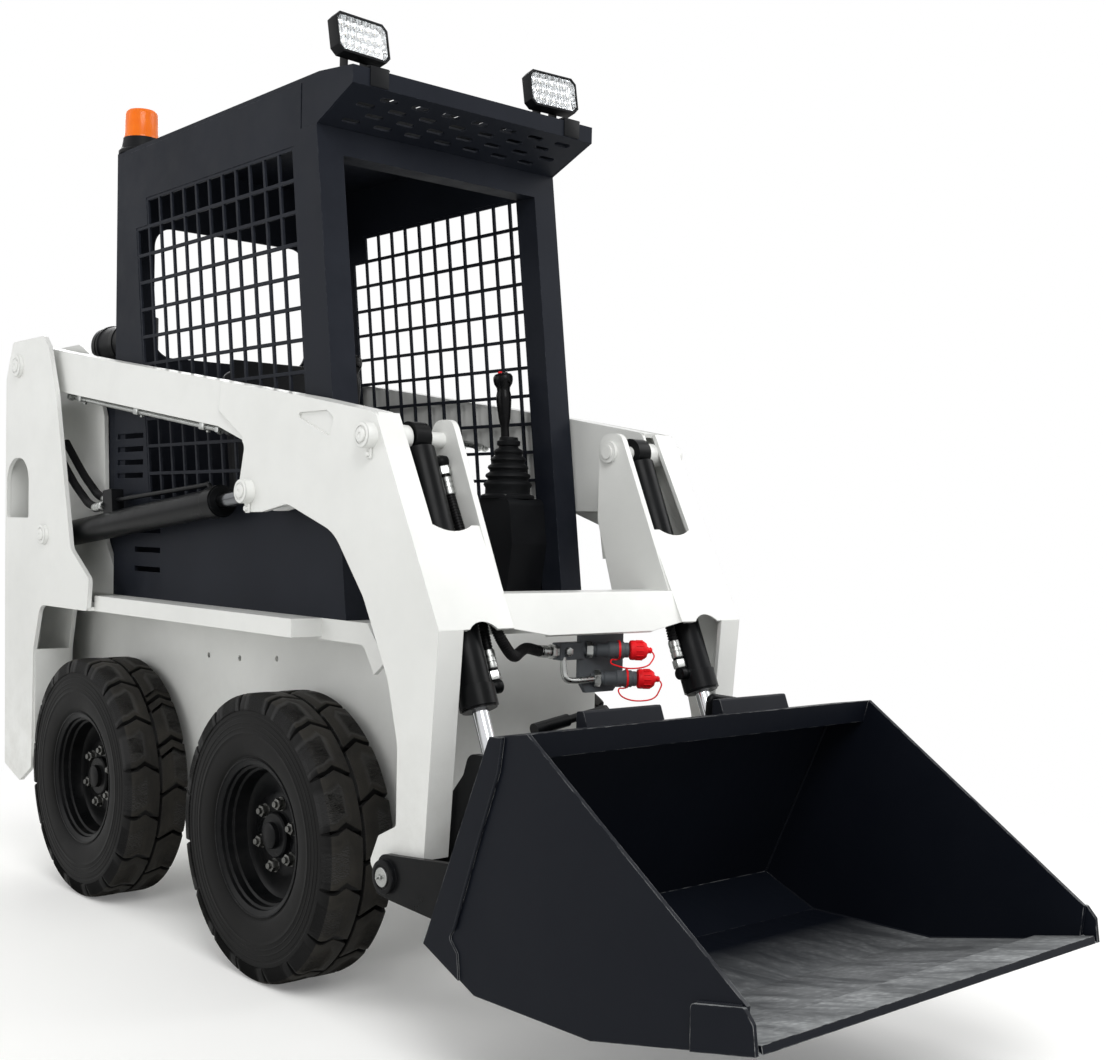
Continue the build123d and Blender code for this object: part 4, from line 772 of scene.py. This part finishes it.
def buildBeacon():
    settings = beaconSettings
    low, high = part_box("beacon")
    middle = Vector((low.x + 0.088, (low.y + high.y) / 2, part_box("cab_roof")[1].z))
    foot, collar, tall = settings["foot"], settings["collar"], settings["tall"]
    bm = bmesh.new()
    base = [
        (0.0, 0.0004), (foot - 0.001, 0.0004), (foot, 0.003), (foot, 0.009), (foot - 0.003, 0.012),
        (foot - 0.007, 0.014), (foot - 0.0115, collar - 0.006), (foot - 0.0118, collar), (0.0, collar),
    ]
    lathe(bm, base, Matrix.Translation(middle), steps=64)
    for angle in (0.5, 2.6, 4.7):
        spot = middle + Vector((cos(angle), sin(angle), 0)) * (foot - 0.0055)
        addHex(bm, Matrix.Translation(spot + Vector((0, 0, 0.0105))), 0.008, 0.0045, look=1, edge=0.0005)
    # the bracket's wing past the rear edge of the roof: broad at its root, pointed at its tip
    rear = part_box("cab_frame")[0].x
    wing = bmesh.ops.create_cube(bm, size=1.0)["verts"]
    for vert in wing:
        root = vert.co.x > 0
        vert.co.z = middle.z - 0.021 + vert.co.z * (0.03 if root else 0.006)
        vert.co.y = middle.y + vert.co.y * (0.068 if root else 0.016)
        vert.co.x = rear - 0.0006 if root else low.x
    roundEdges(bm, list({edge for vert in wing for edge in vert.link_edges}), 0.0015)
    addPiece(bm, "beaconBase", "machine", ("mouldedBlack", "zincPlate"), ("beacon",))
    dome = bmesh.new()
    wide, narrow, thick = settings["low"], settings["high"], settings["wall"]
    wall = [
        (wide, collar), (wide - 0.0002, collar + 0.006), (wide - 0.0014, collar + 0.008),
        (narrow + 0.001, tall - 0.012), (narrow - 0.0005, tall - 0.006),
        (narrow - 0.005, tall - 0.001), (narrow - 0.012, tall), (0.0, tall),
    ]
    inner = [(max(reach - thick, 0.0), height - (thick if reach < narrow else 0.0)) for reach, height in wall]
    section = wall + inner[:0:-1] + [(wide - thick, collar), (wide, collar)]
    lathe(dome, section, Matrix.Translation(middle), steps=96)
    bmesh.ops.remove_doubles(dome, verts=dome.verts, dist=1e-6)
    # the bulb's holder and reflector inside
    core = bmesh.new()
    stack = metres(((0, 94), (6, 92), (10, 84), (10, 70), (16, 66), (30, 60)))
    stack += [(0.032, collar + 0.0004), (0.0, collar + 0.0004)]
    lathe(core, stack, Matrix.Translation(middle), steps=32)
    addPiece(dome, "beaconDome", "machine", ("amberLens",), ("beacon",))
    addPiece(core, "beaconCore", "machine", ("lampReflector",), ("beacon",))


buildLamps()
buildBeacon()
print("lamps and beacon built")


leverSettings = {
    # radius, height over the console: collar, bellows with deep folds, cuff
    "boot": metres((
        (0, 0), (66, 0), (66.5, 6), (63, 9), (56, 11), (55.5, 26), (60, 33), (59, 38.5), (50, 44),
        (50, 47.5), (56, 54), (54.5, 59.5), (45.5, 65), (45.5, 68.5), (50.5, 74.5), (49, 80), (40, 85.5),
        (40, 89), (44.5, 94.5), (42.5, 100), (33.5, 105.5), (33.5, 108.5), (37, 114), (34.5, 119),
        (25.5, 124), (24, 128), (28.5, 131), (29, 140), (24, 143), (22.5, 150), (12, 151.5), (0, 151.5),
    )),
    # the grip over the boot: radius, height along the shaft
    "grip": metres((
        (0, 150), (11.5, 150), (11, 180), (13.5, 186), (16, 200), (18.5, 220), (20.5, 242), (20, 256),
        (17.5, 266), (18, 274), (24.5, 284), (26.5, 293), (26.2, 301), (22.5, 307), (13, 309.5), (0, 310),
    )),
    "lean": 5.2,  # degrees to the rear
}


def buildLevers():
    settings = leverSettings
    low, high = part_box("control_levers")
    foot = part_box("consoles")[1].z
    button = metres(((0, 5.5), (4.5, 5), (5.5, 3.5), (5.5, 0)))
    trigger = metres(((0, 10), (6, 9), (7.5, 6), (7.5, 0)))
    bm = bmesh.new()
    for side in (-1, 1):
        centre = Vector((low.x + 0.064, side * ((high.y - low.y) / 2 - 0.064), foot))
        lathe(bm, settings["boot"], Matrix.Translation(centre), steps=48)
        tilt = Matrix.Translation(centre) @ Matrix.Rotation(radians(-settings["lean"]), 4, "Y")
        stretch = Matrix.Diagonal((1.0, 0.86, 1.0, 1.0))
        lathe(bm, settings["grip"], tilt @ stretch, steps=32, look=1)
        for across, look in ((-0.009, 2), (0.009, 1)):
            lathe(bm, button, tilt @ Matrix.Translation((0.0, across, 0.3085)), steps=16, look=look)
        lathe(bm, trigger, tilt @ turnTo((1, 0, 0.2), (0.018, 0.0, 0.288)), steps=16, look=1)
        for turn in range(4):
            angle = pi / 4 + turn * pi / 2
            bolt = Matrix.Translation(centre + Vector((cos(angle) * 0.0605, sin(angle) * 0.0605, 0.006)))
            addHex(bm, bolt, 0.007, 0.003, look=3, edge=0.0004)
    looks = ("bootRubber", "gripPlastic", "redPlastic", "zincPlate")
    addPiece(bm, "joysticks", "machine", looks, ("control_levers",), sharp=50.0)


buildLevers()
print("levers built")


# each pad: its middle, half sizes along, across and through it, lean, how far it may swell, rows of stitching
padSettings = {
    "seatCushion": {
        "middle": (-0.433, 0.0, 0.972), "half": (0.192, 0.203, 0.034), "lean": 0.0, "swell": 0.014,
        "round": 0.03, "rows": (-0.085, 0.01, 0.105), "bolster": 0.014,
    },
    "seatBackrest": {
        "middle": (-0.614, 0.0, 1.232), "half": (0.196, 0.188, 0.028), "lean": 99.2, "swell": 0.012,
        "round": 0.026, "rows": (-0.095, 0.0, 0.095), "bolster": 0.012,
    },
}


def buildPad(name, settings):
    along, across, through = settings["half"]
    bm = bmesh.new()
    bmesh.ops.create_cube(bm, size=2.0)
    bmesh.ops.scale(bm, vec=(along, across, through), verts=bm.verts)
    roundEdges(bm, bm.edges[:], settings["round"], 4)
    bmesh.ops.recalc_face_normals(bm, faces=bm.faces)
    piece = addObject(name, meshOf(bm, name))
    applyModifier(piece, "REMESH", {"mode": "VOXEL", "voxel_size": 0.007})
    swellPad(piece, settings["swell"])
    applyModifier(piece, "SUBSURF", {"levels": 1, "render_levels": 1})
    # stitched rows cross the face between two raised side bolsters
    for vert in piece.data.vertices:
        place = vert.co
        if place.z > 0.4 * through:
            inner = min(1.0, max(0.0, (0.66 * across - abs(place.y)) / 0.02))
            row = min(abs(place.x - line) for line in settings["rows"])
            groove = 0.0065 / (1.0 + (row / 0.0045) ** 2)
            side = 0.006 / (1.0 + ((abs(place.y) - 0.68 * across) / 0.0045) ** 2)
            raised = settings["bolster"] * min(1.0, max(0.0, (abs(place.y) - 0.68 * across) / 0.03))
            place.z += raised * 0.6 - max(groove * inner, side)
    turn = Matrix.Rotation(-radians(settings["lean"]), 4, "Y")
    piece.data.transform(Matrix.Translation(settings["middle"]) @ turn)
    piece.data.materials.append(finishes["seatVinyl"])
    for face in piece.data.polygons:
        face.use_smooth = True
    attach(piece, "machine")
    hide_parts("seat")


def applyModifier(piece, kind, values):
    modifier = piece.modifiers.new(kind.lower(), kind)
    for key, value in values.items():
        setattr(modifier, key, value)
    keepShape(piece)


def keepShape(piece):  # the modified shape becomes the mesh, and no modifier stays
    graph = bpy.context.evaluated_depsgraph_get()
    mesh = bpy.data.meshes.new_from_object(piece.evaluated_get(graph))
    piece.modifiers.clear()
    old = piece.data
    piece.data = mesh
    bpy.data.meshes.remove(old)
    mesh.name = piece.name


def swellPad(piece, most):  # foam pressing out against its cover: a short cloth run, its movement capped
    before = [vert.co.copy() for vert in piece.data.vertices]
    modifier = piece.modifiers.new("swell", "CLOTH")
    modifier.settings.quality = 5
    modifier.settings.use_pressure = True
    modifier.settings.uniform_pressure_force = 4.0
    modifier.settings.effector_weights.gravity = 0.0
    lastFrame = 20
    modifier.point_cache.frame_start = 1
    modifier.point_cache.frame_end = lastFrame
    scene = bpy.context.scene
    for number in range(1, lastFrame + 1):
        scene.frame_set(number)
    keepShape(piece)
    scene.frame_set(1)
    for vert, start in zip(piece.data.vertices, before):
        move = vert.co - start
        if move.length > most:
            vert.co = start + move * (most / move.length)


def buildShell():  # moulded pan and back of the seat, with its two hinge plates
    bm = bmesh.new()
    addBlock(bm, (-0.64, -0.196, 0.9216), (-0.25, 0.196, 0.944), edge=0.007)
    lean = Matrix.Translation((-0.614, 0.0, 1.232)) @ Matrix.Rotation(-radians(99.2), 4, "Y")
    addBlock(bm, (-0.214, -0.182, -0.044), (0.206, 0.182, -0.03), lean, edge=0.006)
    for side in (-1, 1):
        low, high = sorted((side * 0.197, side * 0.203))
        addBlock(bm, (-0.632, low, 0.928), (-0.56, high, 1.06), edge=0.0015, look=1)
        addHex(bm, turnTo((0, side, 0), (-0.596, side * 0.203, 1.03)), 0.022, 0.01, look=1, edge=0.001)
    addPiece(bm, "seatShell", "machine", ("mouldedBlack", "blackEnamel"), ("seat",))


for name, settings in padSettings.items():
    buildPad(name, settings)
buildShell()
print("seat built")


hydraulicSettings = {
    # the pins of each cylinder, foot and tip: along, up
    "lift": ((-1.162, 0.969), (-0.081, 1.085)), "liftY": 0.39,
    "tilt": ((0.388, 1.194), (0.662, 0.553)), "tiltY": 0.318,
    "hoseRadius": 0.0098,
    "guardPitch": 0.0062,  # of the ribs on the spiral guard
    # a lift hose: across from the cylinder, drop under the upper one
    "liftHoses": ((-0.014, 0.0), (0.014, 0.024)),
    "port": (0.2907, 0.076),  # along the lift cylinder, out of it
    "towerRun": ((-1.08, 1.142), (-1.192, 1.232)),
    # pipes under an arm's rear beam: ends, the two places across, clips along them
    "pipeRun": ((-1.1073, 1.3547), (-0.2558, 1.2299)),
    "pipeAcross": (0.38, 0.402),
    "pipeRadius": 0.006,
    "clips": (0.09, 0.495, 0.905),
    # couplers: height, start across the machine
    "couplers": ((0.764, 0.06), (0.702, 0.085)),
    "couplerX": 0.585,
}


def alongLine(cylinder, y, along, out):  # a place along a cylinder and out to its upper side
    foot, tip = hydraulicSettings[cylinder]
    across, up = tip[0] - foot[0], tip[1] - foot[1]
    span = (across * across + up * up) ** 0.5
    across, up = across / span, up / span
    return foot[0] + across * along - up * out, y, foot[1] + up * along + across * out


def routeFrames(points, step, order=3):  # even places and directions along a smooth line through a route
    mesh = tubeMesh(points, 0.0, order, steps=24)
    places = [vert.co.copy() for vert in mesh.vertices]
    bpy.data.meshes.remove(mesh)
    if (places[0] - Vector(points[0])).length > (places[-1] - Vector(points[0])).length:
        places.reverse()
    frames, travelled, due = [], 0.0, step / 2
    for near, far in zip(places, places[1:]):
        run = (far - near).length
        while run > 0 and travelled + run >= due:
            frames.append((near.lerp(far, (due - travelled) / run), (far - near).normalized()))
            due += step
        travelled += run
    return frames


def stampRow(bm, profile, places, steps, look=0):  # one turned ring, repeated at every place
    ring = bmesh.new()
    lathe(ring, profile, steps=steps, look=look)
    mesh = meshOf(ring, "ring")
    for place in places:
        copy = mesh.copy()
        copy.transform(place)
        bm.from_mesh(copy, face_normals=False, vertex_normals=False)
        bpy.data.meshes.remove(copy)
    bpy.data.meshes.remove(mesh)


def addGuard(bm, points, radius, pitch, look=0, skip=(0.0, 0.0), sides=14):  # ribs of a spiral guard
    frames = routeFrames(points, pitch)
    shown = frames[int(skip[0] / pitch):len(frames) - int(skip[1] / pitch)]
    crest, root, flat = radius + 0.0019, 0.42 * pitch, 0.22 * pitch
    rib = [(radius, -root), (crest, -flat), (crest, flat), (radius, root)]
    stampRow(bm, rib, [turnTo(direction, place) for place, direction in shown], sides, look)


# a crimped sleeve: radius, share of its length
sleeveSection = (
    (0.009, 0.28), (0.0094, 0.36), (0.0122, 0.4), (0.0126, 0.43), (0.0126, 0.56), (0.0117, 0.575),
    (0.0117, 0.6), (0.0126, 0.615), (0.0126, 0.74), (0.0117, 0.755), (0.0117, 0.78), (0.0126, 0.795),
    (0.0126, 0.96), (0.012, 1.0), (0.0095, 1.0),
)


def addFerrule(bm, start, end, look=1):  # hex nut, neck and crimped sleeve from a port along a hose
    start, end = Vector(start), Vector(end)
    long = (end - start).length
    place = turnTo(end - start, start)
    addHex(bm, place, 0.0262, 0.3 * long, look=look, edge=0.0012)
    lathe(bm, [(radius, share * long) for radius, share in sleeveSection], place, steps=24, look=look)


def buildLiftHoses(side, name):
    settings = hydraulicSettings
    portEnd, portOut = settings["port"]
    bm = bmesh.new()
    for across, drop in settings["liftHoses"]:
        y = side * (settings["liftY"] + across)
        ends = [alongLine("lift", y, portEnd - reach, portOut - drop) for reach in (0.0, 0.056, 0.075)]
        route = [ends[0], ends[2]] + [(x, y, z - drop) for x, z in settings["towerRun"]]
        route.insert(2, tuple(Vector(route[1]).lerp(Vector(route[2]), 0.55)))
        addTube(bm, route, settings["hoseRadius"], order=4, sides=5, steps=16)
        addGuard(bm, route, settings["hoseRadius"] - 0.0004, settings["guardPitch"], skip=(0.056, 0.0))
        addFerrule(bm, ends[0], ends[1])
    looks = ("hoseRubber", "zincPlate")
    piece = addPiece(bm, "liftHoseGuards_" + name, None, looks, ("lift_hoses_" + name,))
    y = side * settings["liftY"]
    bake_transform(piece)


def buildTiltFittings(side, name):
    y = side * (hydraulicSettings["tiltY"] - 0.052)
    tail = ((0.072, 0.004), (0.12, 0.0075), (0.184, 0.012))
    boss = metres(((0, 14.8), (9, 14), (13.8, 8), (14.5, 0), (13.8, -8), (0, -14)))
    bm = bmesh.new()
    for along, sense in ((0.052, 1), (0.533, -1)):
        lathe(bm, boss, turnTo((0, side, 0), alongLine("tilt", y, along, 0.004)), steps=24)
        nut = alongLine("tilt", y, along + sense * 0.012, 0.004)
        addFerrule(bm, nut, alongLine("tilt", y, along + sense * 0.074, 0.0045))
        route = [alongLine("tilt", y, along + sense * reach, out) for reach, out in tail]
        addGuard(bm, route, 0.0088, hydraulicSettings["guardPitch"], look=2, skip=(0.004, 0.014))
    looks = ("blackEnamel", "zincPlate", "hoseRubber")
    addPiece(bm, "tiltFittings_" + name, "tilt_barrel_" + name, looks)


def buildBoomLines():
    settings = hydraulicSettings
    x = settings["couplerX"]
    bm = bmesh.new()
    start, end = settings["pipeRun"]
    run = Vector((end[0] - start[0], 0.0, end[1] - start[1]))
    for side in (-1, 1):
        for across in settings["pipeAcross"]:
            y = side * across
            points = [(start[0] + run.x * share, y, start[1] + run.z * share) for share in (0.0, 0.5, 1.0)]
            addTube(bm, points, settings["pipeRadius"], sides=5, steps=4)
            for share in (0.0, 1.0):
                nutAt = Vector(points[0]).lerp(Vector(points[-1]), share)
                addHex(bm, turnTo(run if share < 0.5 else -run, nutAt), 0.019, 0.016, edge=0.0012)
        for share in settings["clips"]:
            at = Vector((start[0], side * 0.391, start[1])) + run * share
            place = Matrix.Translation(at) @ Matrix.Rotation(-run.z / run.x, 4, "Y")
            addBlock(bm, (-0.012, -0.021, -0.0078), (0.012, 0.021, 0.0092), place, edge=0.0016)
            addHex(bm, place @ shiftZ(-0.0078) @ Matrix.Rotation(pi, 4, "X"), 0.01, 0.0055, edge=0.0006)
    # bracket plate, valve block and the two quick couplers under the cross member
    known = set(bm.faces)
    plate = [(0.0, 0.87), (0.128, 0.87), (0.128, 0.7), (0.1, 0.672), (0.02, 0.672), (0.0, 0.7)]
    face = bm.faces.new([bm.verts.new((x - 0.04, y, z)) for y, z in plate])
    extrude(bm, [face], (0.01, 0, 0))
    settleNew(bm, known, look=2)
    for y, z in ((0.018, 0.85), (0.108, 0.85)):
        addHex(bm, turnTo((1, 0, 0), (x - 0.03, y, z)), 0.017, 0.008, edge=0.001)
    addBlock(bm, (x - 0.052, -0.06, 0.744), (x - 0.024, 0.008, 0.78), edge=0.0025, look=2)
    addHex(bm, turnTo((0, -1, 0), (x - 0.038, -0.06, 0.762)), 0.024, 0.01, edge=0.0012)
    addHex(bm, turnTo((1, 0, 0), (x - 0.024, -0.04, 0.762)), 0.017, 0.008, edge=0.001)
    body = metres((
        (0, 0), (12, 0), (12, 6), (15, 8), (15, 21), (12.8, 23), (12.8, 28), (15, 30), (15, 52),
        (16.2, 54), (18.2, 56), (18.2, 66), (17, 68), (17, 71), (18.2, 73), (18.2, 88), (16, 90),
        (16, 98), (0, 98),
    ))
    for z, across in settings["couplers"]:
        back = Vector((x - 0.034, across - 0.05, z))
        front = Vector((x + 0.024, across + 0.034, z))
        place = turnTo(front - back, back)
        lathe(bm, body, place, steps=32, look=2)
        addHex(bm, place @ shiftZ(0.008), 0.031, 0.014, edge=0.0014)
    tube = metres((
        (-30, -48, 750), (-28, -48, 722), (-22, -46, 703), (-22, -20, 700), (-23, 10, 701), (-24, 48, 702),
    ))
    addTube(bm, [(x + forward, y, z) for forward, y, z in tube], 0.007)
    hose = metres((
        (498, -266, 968), (528, -265.5, 931), (558, -265, 890), (590, -263, 820), (599, -250, 790),
        (588, -212, 757), (575, -185, 768), (566, -160, 776), (558, -120, 766), (552, -86, 762),
        (548, -58, 762),
    ))
    addTube(bm, hose, 0.01, look=1, sides=6, steps=12)
    addGuard(bm, hose, 0.0097, 0.005, look=1, skip=(0.15, 0.055))
    addFerrule(bm, (x - 0.036, -0.07, 0.762), (x - 0.029, -0.118, 0.7655), look=0)
    looks = ("zincPlate", "hoseRubber", "greyEnamel")
    addPiece(bm, "armPipes", "arms", looks, ("boom_lines",), sharp=32.0)


def buildCaps():
    settings = hydraulicSettings
    x = settings["couplerX"]
    shape = metres((
        (0, -2), (16.8, -2), (20.5, 0), (21.2, 4), (21.2, 9), (19.8, 12), (20.5, 16), (19.8, 20),
        (20.5, 24), (19.2, 29), (15, 34.5), (8.5, 36.5), (6, 40), (6.8, 44), (4, 47), (0, 47.5),
    ))
    bm = bmesh.new()
    for number, (z, across) in enumerate(settings["couplers"]):
        foot = Vector((x + 0.0243, across + 0.0344, z))
        out = Vector((0.0217, 0.0296, 0.0)).normalized()
        place = turnTo(out, foot)
        lathe(bm, shape, place, steps=40)
        for rib in range(12):
            turn = Matrix.Rotation(rib * pi / 6, 4, "Z")
            low, high = (0.0196, -0.0012, 0.011), (0.0216, 0.0012, 0.0265)
            addBlock(bm, low, high, place @ turn, edge=0.0005, segments=1)
        tip = foot + out * 0.043
        neck = foot - out * 0.024
        # the lanyard hangs in a loop from the cap's tip to a ring round the coupler's neck, in millimetres
        sag = 34 + 8 * number
        hang = (
            (tip, 0, 0, 0), (tip + out * 0.006, 4, 2, -8), (tip, 10, -2, -20), (tip, 8, -16, -sag),
            (foot, 16, -20, -sag - 4), (neck, 16, -26, 4 - sag), (neck, 10, -34, -26), (neck, 4, -26, -18),
            (neck, 2, -12, -20.5), (neck, 0, 0, -19.5),
        )
        loop = [anchor + Vector(away) / 1000 for anchor, *away in hang]
        addTube(bm, loop, 0.0016, sides=3, steps=8)
        ring = metres(((18, -2.2), (20.6, -2.2), (20.6, 2.2), (18, 2.2), (18, -2.2)))
        lathe(bm, ring, turnTo(out, neck), steps=32)
    addPiece(bm, "dustCaps", "arms", ("redPlastic",), ("coupler_caps",))


for side, name in sideNames:
    buildLiftHoses(side, name)
    buildTiltFittings(side, name)
buildBoomLines()
buildCaps()
print("hoses, pipes and couplers built")


# each pin end: body, place along and up, face it stands on, radius of its ring
pinSettings = {
    "knee": ("arms", 0.388, 1.194, 0.45, 0.026),
    "lift": ("arms", -0.081, 1.085, 0.45, 0.027),
    "pivot": ("machine", -1.352, 1.452, 0.46, 0.032),
    "base": ("machine", -1.162, 0.969, 0.46, 0.028),
    "foot": ("tool", 0.494, 0.333, 0.455, 0.034),
}


def buildPinEnd(name, side, sideName):
    body, x, z, out, ring = pinSettings[name]
    place = turnTo((0, side, 0), (x, side * out, z))
    onTool = body == "tool"
    bm = bmesh.new()
    washer = [
        (0.0, 0.0003), (ring - 0.001, 0.0003), (ring - 0.0008, 0.0016), (ring - 0.0035, 0.0024),
        (0.72 * ring, 0.0024), (0.7 * ring, 0.001), (0.0, 0.001),
    ]
    lathe(bm, washer, place)
    head = [
        (0.0, 0.0009), (0.56 * ring, 0.0009), (0.56 * ring, 0.004), (0.52 * ring, 0.0052),
        (0.2 * ring, 0.0056), (0.16 * ring, 0.004), (0.0, 0.004),
    ]
    lathe(bm, head, place, steps=32, look=1 if onTool else 0)
    addPiece(
        bm, "pinFace_" + name + "_" + sideName, body,
        ("blackEnamel", "zincPlate") if onTool else ("whiteEnamel",),
    )
    # the keeper on an arm: a lug below the boss with a bolt through it
    if body != "arms":
        return
    bm = bmesh.new()
    face = 0.428
    low, high = sorted((side * (face + 0.0002), side * (face + 0.0062)))
    addBlock(bm, (x - 0.008, low, z - ring - 0.021), (x + 0.008, high, z - ring + 0.002), edge=0.0025)
    bolt = turnTo((0, side, 0), (x, side * (face + 0.0062), z - ring - 0.011))
    addHex(bm, bolt, 0.0115, 0.005, edge=0.0007)
    addPiece(bm, "keeper_" + name + "_" + sideName, body, ("whiteEnamel",))


def buildNipples():  # grease nipples on the foot pins
    bm = bmesh.new()
    nipple = metres((
        (0, 0), (4.2, 0), (4.2, 4), (2.6, 5.2), (2.6, 8.5), (3.4, 10), (3, 11.8), (0, 12.4),
    ))
    for side in (-1, 1):
        x, z = pinSettings["foot"][1:3]
        lathe(bm, nipple, turnTo((0, side, 0), (x, side * 0.4592, z)), steps=16)
    addPiece(bm, "greaseNipples", "tool", ("zincPlate",))


for side, sideName in sideNames:
    for name in pinSettings:
        buildPinEnd(name, side, sideName)
buildNipples()
print("pins built")


# runs of weld on the right half, mirrored to the left: places (along, across, up)
weldSettings = {
    "bucketWelds": {
        "body": "tool", "slot": "bucket_paint", "look": "beadEnamel", "size": 0.003,
        "runs": (
            ((0.852, 0.474, 0.64), (0.6805, 0.474, 0.252)),
            ((0.686, 0.474, 0.25), (0.817, 0.474, 0.1975), (1.11, 0.474, 0.203), (1.32, 0.474, 0.25)),
            ((0.8825, 0.4872, 0.655), (0.8735, 0.4872, 0.597), (0.814, 0.4872, 0.445), (0.76, 0.4872, 0.297)),
            ((0.882, 0.09, 0.658), (0.882, 0.28, 0.658)),
            ((1.338, 0.4835, 0.3205), (1.425, 0.4835, 0.3375)),
        ),
    },
    "edgeWeld": {
        "body": "tool", "slot": "worn_steel", "look": "lipEnamel", "size": 0.0032,
        "runs": (((1.339, 0.001, 0.2545), (1.339, 0.472, 0.2545)),),
    },
}


def buildWelds(name, settings):
    bm = bmesh.new()
    size = settings["size"]
    for side in (-1, 1):
        for run in settings["runs"]:
            places = [Vector((x, side * y, z)) for x, y, z in run]
            for start, end in zip(places, places[1:]):
                along = end - start
                lathe(bm, [(size * 0.8, 0.0), (size * 0.8, along.length)], turnTo(along, start), steps=8)
                count = max(2, round(along.length / 0.0052))  # a scale of the bead each 5.2 mm
                scale = [(0.0, -0.0016), (size, -0.0008), (size * 1.12, 0.0006), (0.0, 0.0016)]
                spots = [start.lerp(end, (number + 0.5) / count) for number in range(count)]
                stampRow(bm, scale, [turnTo(along, spot) for spot in spots], 8)
    addPiece(bm, name, settings["body"], (settings["look"],))


for name, settings in weldSettings.items():
    buildWelds(name, settings)
print("welds built")


canisterSettings = {
    "across": -0.215, "height": 1.52, "front": -1.1, "rear": -1.285, "radius": 0.056,
    "straps": (0.038, 0.15),
}


def buildCanister():  # the lying filter housing behind the intake stack, strapped on two saddles
    settings = canisterSettings
    long = settings["front"] - settings["rear"]
    radius = settings["radius"]
    y, z = settings["across"], settings["height"]
    place = turnTo((-1, 0, 0), (settings["front"], y, z))
    bm = bmesh.new()
    housing = [
        (0.0, 0.0), (radius, 0.0), (radius, 0.118), (radius + 0.0035, 0.121), (radius + 0.0035, 0.13),
        (radius, 0.133), (radius - 0.001, long - 0.022), (radius - 0.0065, long - 0.009),
        (radius - 0.016, long - 0.003), (radius - 0.03, long), (0.018, long), (0.016, long - 0.003),
        (0.0, long - 0.003),
    ]
    lathe(bm, housing, place, steps=56)
    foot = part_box("air_cleaner")[0].z
    outer = radius + 0.0022
    strap = [(radius, -0.01), (outer, -0.01), (outer, 0.01), (radius, 0.01)]
    for along in settings["straps"]:
        x = settings["front"] - along
        lathe(bm, strap, place @ shiftZ(along), steps=56, look=1)
        low, high = (x - 0.012, y - 0.034, foot + 0.0003), (x + 0.012, y + 0.034, z - 0.046)
        addBlock(bm, low, high, edge=0.002, look=1)
    addPiece(bm, "airCanister", "machine", ("mouldedBlack", "blackEnamel"))


buildCanister()
print("air cleaner built")
